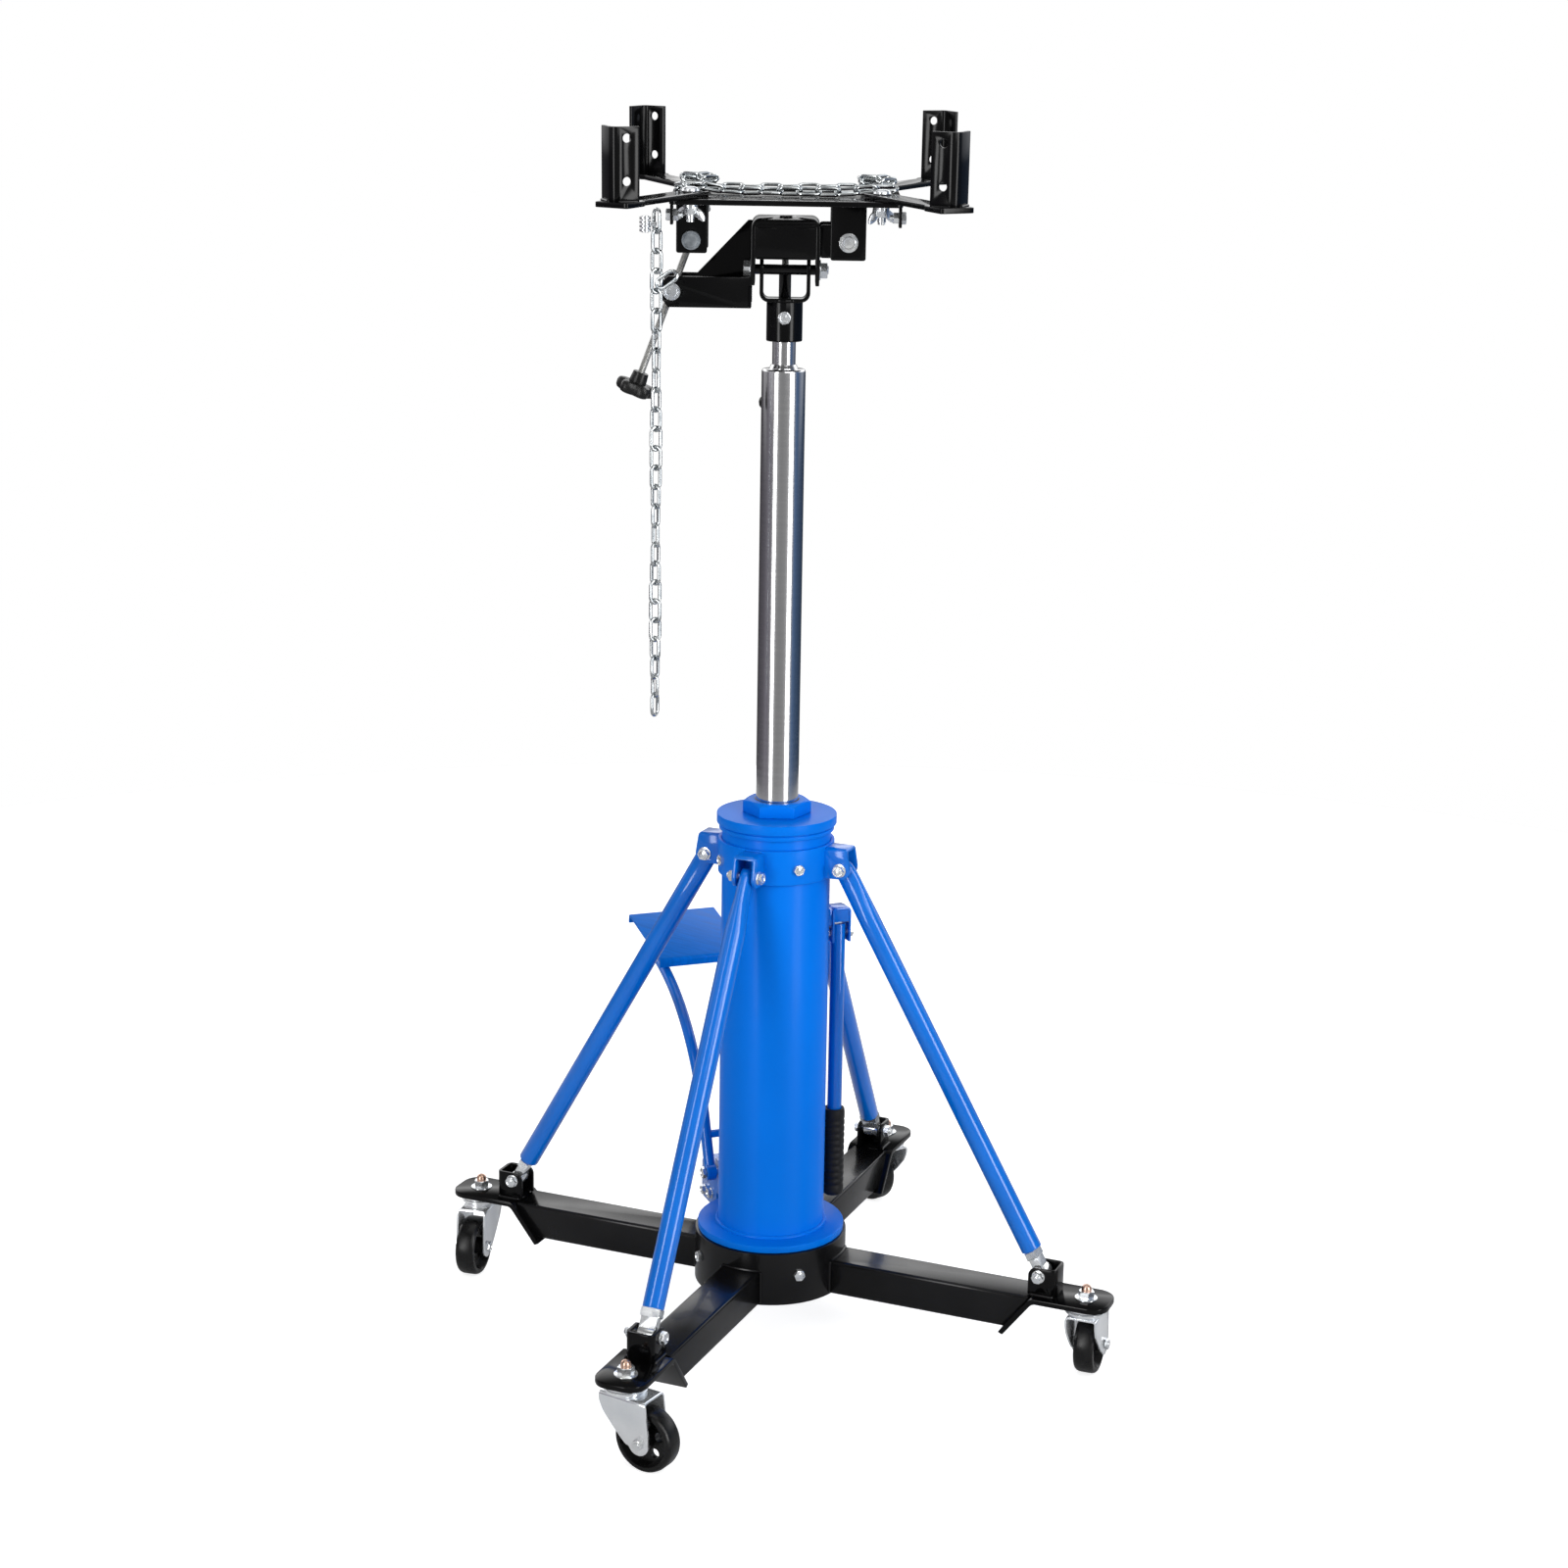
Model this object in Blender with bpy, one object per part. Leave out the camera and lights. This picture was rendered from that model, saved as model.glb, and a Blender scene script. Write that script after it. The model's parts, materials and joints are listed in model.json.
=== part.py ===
"""Vertical two-stage hydraulic transmission jack: wheeled base, column, rams, foot pump and saddle.

Metres, +Z up. The origin is on the floor under the column's axis; the legs lie along X and Y.
"""

import math

import bmesh
import bpy
from mathutils import Matrix, Vector

GAP = 0.0003

# Directions about the column's axis.
HEAD_TURN = math.radians(22.75)
HEAD_TILT = math.radians(3.4)
PUMP_TURN = math.radians(133.5)
HANDLE_TURN = math.radians(45)
LEG_TURNS = {"right": 0, "back": 90, "left": 180, "front": 270}

# Base.
HUB_RADIUS = 0.0939
HUB_BORE = 0.078
HUB_BOTTOM = 0.0607
HUB_TOP = 0.127
BEAM_HALF_WIDTH = 0.025
BEAM_WALL = 0.003
BEAM_BOTTOM = 0.0615
BEAM_TOP = 0.105
PLATE_TOP = 0.1065
PLATE_THICKNESS = 0.007
PLATE_HALF_WIDTH = 0.0315
CASTOR_REACH = 0.410
BEND_X = 0.350
END_FOOT_X = 0.3145
END_FOOT_Z = 0.0555
CLEVIS_INNER_HALF = 0.0135
CLEVIS_WALL = 0.004
CLEVIS_TOP = 0.1405

# Castors.
WHEEL_RADIUS = 0.0375
WHEEL_HALF_WIDTH = 0.0125
CASTOR_TRAIL = 0.030
FORK_TOP = PLATE_TOP - PLATE_THICKNESS - GAP
CASTOR_YAWS = {"right": 92, "back": 150, "left": -82, "front": -9}

# Braces from the column's collar to the castor plates.
BRACE_BOTTOM = Vector((0.355, 0, 0.1305))
BRACE_TOP = Vector((0.088, 0, 0.600))
BRACE_RADIUS = 0.0127
BRACE_BORE = 0.0107
ROD_END_LENGTH = 0.0300
TONGUE_HALF_WIDTH = 0.0085

# Column.
FLANGE_RADIUS = 0.0905
FLANGE_BOTTOM = HUB_TOP + GAP
FLANGE_TOP = 0.136
TUBE_RADIUS = 0.0655
TUBE_TOP = 0.640
CYLINDER_BORE = 0.0300
COLLAR_RADIUS = 0.0700
LUG_INNER_HALF = 0.0105
LUG_WALL = 0.004
COLLAR_BOTTOM = 0.586
COLLAR_TOP = 0.628
CAP_RADIUS = 0.0722
CAP_TOP = 0.659
NUT_CORNER_RADIUS = 0.0412
NUT_TOP = 0.676

# Rams.
LOWER_RAM_RADIUS = 0.0255
LOWER_RAM_BORE = 0.0205
LOWER_RAM_BOTTOM = 0.600
LOWER_RAM_TOP = 1.1875
UPPER_RAM_RADIUS = 0.0135
UPPER_RAM_BOTTOM = 0.640
UPPER_RAM_TOP = 1.2575

# Head: the yoke bolt is the fore-and-aft tilt axis.
YOKE_BOLT_Z = 1.300
SOCKET_RADIUS = 0.0208
SOCKET_BOTTOM = 1.219
YOKE_BOTTOM = 1.264
YOKE_HALF_WIDTH = 0.029
YOKE_WALL = 0.004
YOKE_HALF_DEPTH = 0.019
PIN_RADIUS = 0.006
CAP_HALF_WIDTH = 0.039
CAP_HALF_DEPTH = 0.035
CAP_WALL = 0.0045
CAP_HEIGHT = 0.0585

# Saddle, in the tilted frame whose origin is on the yoke bolt.
SADDLE_HALF_LENGTH = 0.130
SADDLE_HALF_DEPTH = 0.085
SADDLE_BOTTOM = 0.0785
SADDLE_TOP = 0.0845
SADDLE_PIVOT = Vector((0.0713, 0, 0.034))
ARM_BOLT = Vector((0.107, 0.055, SADDLE_TOP))
ARM_ANGLES = {"right_rear": 60, "right_front": 63.5, "left_rear": 66.5, "left_front": 62}
UPRIGHT_LEAN = math.radians(-39)
ARM_REACH = 0.168
ARM_THICKNESS = 0.006
UPRIGHT_WIDTH = 0.032
UPRIGHT_WALL = 0.004
UPRIGHT_TOP = 0.169
UPRIGHT_HOLES = (0.112, 0.157)

# Tilt screws: each passes through a lower and an upper trunnion.
SCREW_RADIUS = 0.004
SIDE_LOWER = Vector((-0.129, 0, -0.0243))
SIDE_UPPER = Vector((-0.107, 0, 0.0345))
REAR_LOWER = Vector((0, 0.062, 1.247))
REAR_UPPER = Vector((0, 0.008, 1.342))
SIDE_KNOB_RADIUS = 0.022
REAR_KNOB_RADIUS = 0.0295

# Foot pump, in the frame whose +X points out of the column.
LEVER_PIVOT = Vector((0.0925, 0, 0.168))
LEVER_LINK = Vector((0.1095, 0, 0.212))
LEVER_HALF_SPAN = 0.048
LEVER_RADIUS = 0.007
TREAD_NEAR = Vector((0.262, 0, 0.400))
TREAD_FAR = Vector((0.398, 0, 0.424))
TREAD_HALF_WIDTH = 0.060
PLUNGER_X = 0.122
PUMP_HALF_WIDTH = 0.037

# Push handle, in the frame whose +X points out of the column.
HANDLE_PIVOT = Vector((0.0835, 0, 0.5005))
HANDLE_RADIUS = 0.009
GRIP_RADIUS = 0.0133
GRIP_TOP = 0.272
GRIP_BOTTOM = 0.158

# Chain.
CHAIN_TOP = Vector((-0.1475, -0.070, 1.366))
CHAIN_BOTTOM_Z = 0.793
CHAIN_HALF_WIDTH = 0.008


# Materials and scene helpers.


def clear_scene():
    for obj in list(bpy.data.objects):
        bpy.data.objects.remove(obj, do_unlink=True)


def paint(name, colour, roughness, metallic):
    made = bpy.data.materials.new(name)
    made.use_nodes = True
    shader = made.node_tree.nodes["Principled BSDF"]
    shader.inputs["Base Color"].default_value = (*colour, 1)
    shader.inputs["Roughness"].default_value = roughness
    shader.inputs["Metallic"].default_value = metallic
    return made


def frame(name, turn=0.0, tilt=0.0, height=0.0):
    """An empty that holds the pieces built in its own directions."""
    made = bpy.data.objects.new(name, None)
    made.location = (0, 0, height)
    made.rotation_euler = (tilt, 0, turn)
    bpy.context.scene.collection.objects.link(made)
    return made


def node(name, mesh, material, parent, origin=(0, 0, 0), yaw=0.0):
    """One sub-part. Its mesh is given in the frame's coordinates and its origin is on its joint."""
    origin = Vector(origin)
    mesh.transform(Matrix.Translation(-origin))
    mesh.shade_smooth()
    mesh.set_sharp_from_angle(angle=math.radians(35))
    mesh.materials.append(material)
    made = bpy.data.objects.new(name, mesh)
    made.parent = parent
    made.location = origin
    made.rotation_euler.z = yaw
    bpy.context.scene.collection.objects.link(made)
    return made


def boolean(target, mesh, operation):
    """Adds or cuts a shape given in the same coordinates as the target's own mesh was."""
    mesh.transform(Matrix.Translation(-target.location))
    helper = bpy.data.objects.new(f"{target.name}_{operation.lower()}_{len(target.modifiers)}", mesh)
    helper.parent = target.parent
    helper.location = target.location
    helper.rotation_euler = target.rotation_euler
    helper.hide_render = True
    helper.display_type = "WIRE"
    bpy.context.scene.collection.objects.link(helper)
    modifier = target.modifiers.new(helper.name, "BOOLEAN")
    modifier.operation = operation
    modifier.solver = "EXACT"
    modifier.object = helper


def weld(target, *meshes):
    for mesh in meshes:
        boolean(target, mesh, "UNION")


def cut(target, *meshes):
    for mesh in meshes:
        boolean(target, mesh, "DIFFERENCE")


# Shapes. Each returns a closed mesh.


def mesh_from(shape):
    bmesh.ops.recalc_face_normals(shape, faces=shape.faces)
    made = bpy.data.meshes.new("shape")
    shape.to_mesh(made)
    shape.free()
    return made


def box(low, high):
    shape = bmesh.new()
    bmesh.ops.create_cube(shape, size=1)
    low = Vector(low)
    high = Vector(high)
    for vert in shape.verts:
        vert.co = [(low[i] + high[i]) / 2 + vert.co[i] * (high[i] - low[i]) for i in range(3)]
    return mesh_from(shape)


def prism(outline, low, high, axis="z"):
    """An outline extruded along an axis. The outline holds the other two coordinates, in order."""
    place = {
        "x": lambda u, v, w: (w, u, v),
        "y": lambda u, v, w: (u, w, v),
        "z": lambda u, v, w: (u, v, w),
    }[axis]
    shape = bmesh.new()
    face = shape.faces.new([shape.verts.new(place(u, v, low)) for u, v in outline])
    extruded = bmesh.ops.extrude_face_region(shape, geom=[face])
    moved = [item for item in extruded["geom"] if isinstance(item, bmesh.types.BMVert)]
    bmesh.ops.translate(shape, verts=moved, vec=Vector(place(0, 0, high - low)))
    return mesh_from(shape)


def arc(centre, radius, start, end, steps=6):
    """Points of an arc, angles in degrees."""
    angles = [math.radians(start + (end - start) * i / steps) for i in range(steps + 1)]
    return [(centre[0] + radius * math.cos(a), centre[1] + radius * math.sin(a)) for a in angles]


def turned(profile, sides=24, start=0.0):
    """A profile of (radius, height) points turned about Z. A radius of 0 closes on the axis."""
    shape = bmesh.new()
    rings = []
    for radius, height in profile:
        count = sides if radius > 0 else 1
        turns = [start + 2 * math.pi * i / sides for i in range(count)]
        rings.append([shape.verts.new((radius * math.cos(t), radius * math.sin(t), height)) for t in turns])
    pairs = list(zip(rings, rings[1:]))
    if profile[0][0] > 0:
        pairs.append((rings[-1], rings[0]))
    for one, two in pairs:
        for i in range(sides):
            j = (i + 1) % sides
            corners = [one[i % len(one)], one[j % len(one)], two[j % len(two)], two[i % len(two)]]
            corners = list(dict.fromkeys(corners))
            if len(corners) > 2:
                shape.faces.new(corners)
    return mesh_from(shape)


def rod(start, end, radius, sides=16):
    """A round bar from start to end, with flat ends."""
    start = Vector(start)
    end = Vector(end)
    made = turned([(0, 0), (radius, 0), (radius, (end - start).length), (0, (end - start).length)], sides)
    turn = (end - start).to_track_quat("Z", "Y").to_matrix().to_4x4()
    made.transform(Matrix.Translation(start) @ turn)
    return made


def pipe(start, end, radius, bore, depth, sides=16):
    """A round bar with a blind bore from its start."""
    start = Vector(start)
    end = Vector(end)
    length = (end - start).length
    profile = [(0, depth), (bore, depth), (bore, 0), (radius, 0), (radius, length), (0, length)]
    made = turned(profile, sides)
    turn = (end - start).to_track_quat("Z", "Y").to_matrix().to_4x4()
    made.transform(Matrix.Translation(start) @ turn)
    return made


def swept(points, radius, sides=10):
    """A round tube along points that lie in a plane of constant y."""
    shape = bmesh.new()
    rings = []
    for i, point in enumerate(points):
        before = points[max(i - 1, 0)]
        after = points[min(i + 1, len(points) - 1)]
        along = (after - before).normalized()
        side = along.cross(Vector((0, 1, 0)))
        ring = []
        for k in range(sides):
            turn = 2 * math.pi * k / sides
            offset = side * math.cos(turn) + Vector((0, 1, 0)) * math.sin(turn)
            ring.append(shape.verts.new(point + offset * radius))
        rings.append(ring)
    for one, two in zip(rings, rings[1:]):
        for k in range(sides):
            m = (k + 1) % sides
            shape.faces.new([one[k], one[m], two[m], two[k]])
    shape.faces.new(rings[0])
    shape.faces.new(rings[-1])
    return mesh_from(shape)


def clear(radius, sides):
    """The corner radius of a faceted hole whose flats clear a shaft of this radius."""
    return (radius + GAP) / math.cos(math.pi / sides)


# Base.


def base_hub(world, black):
    profile = [(HUB_BORE, HUB_BOTTOM), (HUB_RADIUS, HUB_BOTTOM), (HUB_RADIUS, HUB_TOP), (HUB_BORE, HUB_TOP)]
    node("base_hub", turned(profile, 40), black, world)


def leg(side, parent, black):
    """Box beam with a slanted end, the castor plate that folds down over it, and the brace clevis."""
    slope = (BEND_X - END_FOOT_X) / (PLATE_TOP - END_FOOT_Z)
    outline = [
        (0.080, BEAM_BOTTOM),
        (END_FOOT_X + slope * (BEAM_BOTTOM - END_FOOT_Z) - 0.004, BEAM_BOTTOM),
        (BEND_X - 0.004, BEAM_TOP),
        (0.080, BEAM_TOP),
    ]
    beam = node(f"leg_{side}", prism(outline, -BEAM_HALF_WIDTH, BEAM_HALF_WIDTH, "y"), black, parent)
    inner = BEAM_HALF_WIDTH - BEAM_WALL
    cut(beam, box((0.07, -inner, BEAM_BOTTOM + BEAM_WALL), (0.295, inner, BEAM_TOP - BEAM_WALL)))
    ring = [(0, 0.05), (HUB_RADIUS + GAP, 0.05), (HUB_RADIUS + GAP, 0.12), (0, 0.12)]
    cut(beam, turned(ring, 40))
    thickness = 0.006
    folded = [
        (END_FOOT_X - thickness, END_FOOT_Z),
        (END_FOOT_X, END_FOOT_Z - 0.002),
        (BEND_X + 0.004, PLATE_TOP - PLATE_THICKNESS),
        (BEND_X + 0.006, PLATE_TOP - 0.002),
        (BEND_X - 0.004, PLATE_TOP - 0.002),
    ]
    corner = 0.022
    edge = CASTOR_REACH + 0.031 - corner
    inset = PLATE_HALF_WIDTH - corner
    plate = [(BEND_X - 0.006, -PLATE_HALF_WIDTH)]
    plate += arc((edge, -inset), corner, -90, 0)
    plate += arc((edge, inset), corner, 0, 90)
    plate += [(BEND_X - 0.006, PLATE_HALF_WIDTH)]
    weld(beam, prism(folded, -PLATE_HALF_WIDTH, PLATE_HALF_WIDTH, "y"))
    weld(beam, prism(plate, PLATE_TOP - PLATE_THICKNESS, PLATE_TOP))
    weld(beam, *clevis_shapes())


def clevis_shapes():
    """U-shaped brace clevis on the castor plate, its web towards the castor."""
    outer = CLEVIS_INNER_HALF + CLEVIS_WALL
    front, back = 0.342, 0.3775
    low, top = PLATE_TOP - 0.003, CLEVIS_TOP
    cheek = [(front, low), (back, low), (back, top)]
    cheek += arc((front + 0.010, top - 0.010), 0.010, 90, 180, 4)
    left = prism(cheek, -outer, -CLEVIS_INNER_HALF, "y")
    right = prism(cheek, CLEVIS_INNER_HALF, outer, "y")
    web = box((back - CLEVIS_WALL, -outer + 0.001, low + 0.001), (back - 0.0005, outer - 0.001, top - 0.003))
    return left, right, web


def brace(side, parent, blue, zinc):
    """Blue tube with a flattened top tongue, and the flat zinc end that the clevis bolt holds."""
    along = (BRACE_TOP - BRACE_BOTTOM).normalized()
    start = BRACE_BOTTOM + along * ROD_END_LENGTH
    end = BRACE_TOP - along * 0.020
    tube = node(f"brace_{side}", pipe(start, end, BRACE_RADIUS, BRACE_BORE, 0.44, 16), blue, parent)
    tongue = TONGUE_HALF_WIDTH
    weld(tube, rod(BRACE_TOP + Vector((0, -tongue, 0)), BRACE_TOP + Vector((0, tongue, 0)), 0.0105, 12))
    weld(tube, rod(end - along * 0.006, BRACE_TOP, tongue - 0.0003, 8))
    eye = rod(BRACE_BOTTOM + Vector((0, -0.0105, 0)), BRACE_BOTTOM + Vector((0, 0.0105, 0)), 0.0090, 12)
    rod_end = node(f"brace_end_{side}", eye, zinc, parent)
    weld(rod_end, rod(BRACE_BOTTOM, BRACE_BOTTOM + along * 0.052, 0.0055, 10))
    for near, far, half_thick, half_wide in ((0, 0.0225, 0.0055, 0.0103), (0.0195, 0.0297, 0.0065, 0.0120)):
        corners = [(near, -half_thick), (far, -half_thick), (far, half_thick), (near, half_thick)]
        points = [BRACE_BOTTOM + along * u + Vector((along.z, 0, -along.x)) * v for u, v in corners]
        weld(rod_end, prism([(point.x, point.z) for point in points], -half_wide, half_wide, "y"))


def castor(side, parent, zinc, rubber):
    """Fork, axle and wheel. The fork's +X is the trail, turned to this castor's resting yaw."""
    yaw = math.radians(CASTOR_YAWS[side] - LEG_TURNS[side])
    stem = (CASTOR_REACH, 0, 0)
    swivel = bpy.data.objects.new(f"swivel_{side}", None)
    swivel.parent = parent
    swivel.location = stem
    swivel.rotation_euler.z = yaw
    bpy.context.scene.collection.objects.link(swivel)
    axle_z = WHEEL_RADIUS
    low, high = 0.0165, 0.0190
    race = turned([(0, 0.086), (0.0255, 0.086), (0.0255, 0.0935), (0.023, FORK_TOP), (0, FORK_TOP)], 20)
    fork = node(f"castor_fork_{side}", race, zinc, swivel)
    cheek = [(-0.0235, 0.0875), (-0.0235, 0.078), (-0.018, 0.066), (-0.004, 0.050), (0.010, 0.036)]
    cheek += arc((CASTOR_TRAIL, axle_z), 0.0135, 200, 345, 6)
    cheek += [(0.0425, 0.050), (0.038, 0.0875)]
    weld(fork, prism(cheek, -high, -low, "y"), prism(cheek, low, high, "y"))
    weld(fork, box((-0.0230, -high + 0.0003, 0.0845), (0.0375, high - 0.0003, 0.0871)))
    hole = clear(0.004, 12)
    cut(fork, rod((CASTOR_TRAIL, -0.03, axle_z), (CASTOR_TRAIL, 0.03, axle_z), hole, 12))
    rim = [(hole, -0.0140), (0.009, -0.0140), (0.0095, -0.0105), (0.028, -0.0095), (0.031, -WHEEL_HALF_WIDTH)]
    rim += [(0.0352, -WHEEL_HALF_WIDTH), (WHEEL_RADIUS, -0.0095)]
    rim += [(radius, -height) for radius, height in reversed(rim)]
    wheel = turned(rim, 24)
    wheel.transform(Matrix.Translation((CASTOR_TRAIL, 0, axle_z)) @ Matrix.Rotation(math.pi / 2, 4, "X"))
    node(f"castor_wheel_{side}", wheel, rubber, swivel, (CASTOR_TRAIL, 0, axle_z))
    bolt = rod((CASTOR_TRAIL, -0.0235, axle_z), (CASTOR_TRAIL, 0.0235, axle_z), 0.004, 12)
    axle = node(f"castor_axle_{side}", bolt, zinc, swivel, (CASTOR_TRAIL, 0, axle_z))
    for sign in (-1, 1):
        near = (CASTOR_TRAIL, sign * (high + GAP), axle_z)
        far = (CASTOR_TRAIL, sign * (high + 0.0045), axle_z)
        weld(axle, rod(near, far, 0.0068, 6))


# Column.


def reservoir(world, blue):
    wall = 0.005
    inner = CYLINDER_BORE + 0.006
    floor = FLANGE_TOP + 0.0004
    cup = [
        (0, FLANGE_BOTTOM),
        (FLANGE_RADIUS, FLANGE_BOTTOM),
        (FLANGE_RADIUS, FLANGE_TOP),
        (TUBE_RADIUS, FLANGE_TOP),
        (TUBE_RADIUS, TUBE_TOP - GAP),
        (TUBE_RADIUS - wall, TUBE_TOP - GAP),
        (TUBE_RADIUS - wall, floor),
        (inner, floor),
        (inner, TUBE_TOP - GAP),
        (CYLINDER_BORE + GAP, TUBE_TOP - GAP),
        (CYLINDER_BORE + GAP, floor),
        (0, floor),
    ]
    node("reservoir", turned(cup, 32), blue, world)


def column_cap(world, blue):
    bore = LOWER_RAM_RADIUS + GAP
    edge = [
        (bore, TUBE_TOP),
        (0.0693, TUBE_TOP),
        (0.0693, 0.6450),
        (0.0680, 0.6455),
        (0.0680, 0.6470),
        (CAP_RADIUS, 0.6475),
        (CAP_RADIUS, CAP_TOP - 0.001),
        (CAP_RADIUS - 0.001, CAP_TOP),
        (bore, CAP_TOP),
    ]
    node("column_cap", turned(edge, 32), blue, world)


def gland_nut(world, blue):
    hexagon = [(NUT_CORNER_RADIUS * math.cos(a), NUT_CORNER_RADIUS * math.sin(a))
               for a in (math.radians(60 * k + 22.75) for k in range(6))]
    nut = node("gland_nut", prism(hexagon, CAP_TOP + GAP, NUT_TOP), blue, world)
    bore = LOWER_RAM_RADIUS + GAP
    cut(nut, turned([(0, 0.64), (bore, 0.64), (bore, 0.69), (0, 0.69)], 32))


def brace_collar(world, blue):
    """Clamp ring under the cap with four lugs that hold the braces' top bolts."""
    bore = TUBE_RADIUS + GAP
    ring = [(bore, COLLAR_BOTTOM), (COLLAR_RADIUS, COLLAR_BOTTOM), (COLLAR_RADIUS, COLLAR_TOP), (bore, COLLAR_TOP)]
    collar = node("brace_collar", turned(ring, 32), blue, world)
    outer = LUG_INNER_HALF + LUG_WALL
    bolt = (BRACE_TOP.x, BRACE_TOP.z)
    cheek = [(0.067, 0.588), (0.084, 0.588)] + arc(bolt, 0.0125, -60, 60, 5) + [(0.083, 0.6265), (0.067, 0.6265)]
    for turn in LEG_TURNS.values():
        spin = Matrix.Rotation(math.radians(turn), 4, "Z")
        for low, high in ((-outer, -LUG_INNER_HALF), (LUG_INNER_HALF, outer)):
            lug = prism(cheek, low, high, "y")
            lug.transform(spin)
            weld(collar, lug)
        roof = box((0.067, -outer + 0.001, 0.6195), (0.082, outer - 0.001, 0.6245))
        roof.transform(spin)
        weld(collar, roof)


# Rams.


def rams(world, chrome):
    shoulder = 0.0155
    lower = [
        (LOWER_RAM_BORE, LOWER_RAM_BOTTOM),
        (CYLINDER_BORE - GAP, LOWER_RAM_BOTTOM),
        (CYLINDER_BORE - GAP, LOWER_RAM_BOTTOM + 0.022),
        (LOWER_RAM_RADIUS, LOWER_RAM_BOTTOM + 0.022),
        (LOWER_RAM_RADIUS, LOWER_RAM_TOP - 0.003),
        (LOWER_RAM_RADIUS - 0.003, LOWER_RAM_TOP),
        (UPPER_RAM_RADIUS + GAP, LOWER_RAM_TOP),
        (UPPER_RAM_RADIUS + GAP, LOWER_RAM_TOP - shoulder),
        (LOWER_RAM_BORE, LOWER_RAM_TOP - shoulder),
    ]
    node("lower_ram", turned(lower, 32), chrome, world)
    piston = LOWER_RAM_BORE - GAP
    upper = [
        (0, UPPER_RAM_BOTTOM),
        (piston, UPPER_RAM_BOTTOM),
        (piston, UPPER_RAM_BOTTOM + 0.020),
        (UPPER_RAM_RADIUS, UPPER_RAM_BOTTOM + 0.020),
        (UPPER_RAM_RADIUS, UPPER_RAM_TOP),
        (0, UPPER_RAM_TOP),
    ]
    node("upper_ram", turned(upper, 32), chrome, world)


# Head.


def head_yoke(head, black):
    """Ram socket, U-shaped yoke and the fork behind the socket for the rear screw's trunnion."""
    bore = clear(UPPER_RAM_RADIUS, 32)
    socket = [
        (bore, SOCKET_BOTTOM),
        (SOCKET_RADIUS, SOCKET_BOTTOM),
        (SOCKET_RADIUS, YOKE_BOTTOM + 0.002),
        (0, YOKE_BOTTOM + 0.002),
        (0, UPPER_RAM_TOP + GAP),
        (bore, UPPER_RAM_TOP + GAP),
    ]
    closed = socket[3:] + socket[:3]
    yoke = node("head_yoke", turned(closed[1:] + closed[:1], 32), black, head)
    wide = YOKE_HALF_WIDTH
    corner = 0.010
    low = YOKE_BOTTOM
    top = YOKE_BOLT_Z + 0.016
    outer = arc((-wide + corner, low + corner), corner, 180, 270, 4)
    outer += arc((wide - corner, low + corner), corner, 270, 360, 4)
    inner = arc((wide - corner, low + corner), corner - YOKE_WALL, 360, 270, 4)
    inner += arc((-wide + corner, low + corner), corner - YOKE_WALL, 270, 180, 4)
    outline = [(-wide, top)] + outer + [(wide, top), (wide - YOKE_WALL, top)] + inner
    outline += [(-wide + YOKE_WALL, top)]
    weld(yoke, prism(outline, -YOKE_HALF_DEPTH, YOKE_HALF_DEPTH, "y"))
    rounded = [(-0.03, YOKE_BOLT_Z)] + arc((0, YOKE_BOLT_Z), YOKE_HALF_DEPTH, 180, 0, 8)
    rounded += [(0.03, YOKE_BOLT_Z), (0.03, 1.34), (-0.03, 1.34)]
    cut(yoke, prism(rounded, -0.04, 0.04, "x"))
    cut(yoke, rod((-0.05, 0, YOKE_BOLT_Z), (0.05, 0, YOKE_BOLT_Z), clear(PIN_RADIUS, 16), 16))
    fork = [(0.012, 1.2315), (0.056, 1.2315)] + arc((REAR_LOWER.y, REAR_LOWER.z), 0.0125, -90, 90, 6)
    fork += [(0.056, 1.2615), (0.012, 1.2615)]
    for low_x, high_x in ((-0.0165, -0.0125), (0.0125, 0.0165)):
        weld(yoke, prism(fork, low_x, high_x, "x"))
    start = REAR_LOWER - Vector((0.03, 0, 0))
    end = REAR_LOWER + Vector((0.03, 0, 0))
    cut(yoke, rod(start, end, clear(0.006, 16), 16))


def yoke_bolt(head, zinc):
    centre = Vector((0, 0, YOKE_BOLT_Z))
    bolt = node("yoke_bolt", rod(centre - Vector((0.050, 0, 0)), centre + Vector((0.050, 0, 0)), PIN_RADIUS),
                zinc, head, centre)
    for low, high in ((-0.0475, -0.0395), (0.0395, 0.0475)):
        weld(bolt, rod(centre + Vector((low, 0, 0)), centre + Vector((high, 0, 0)), 0.0102, 6))


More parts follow.
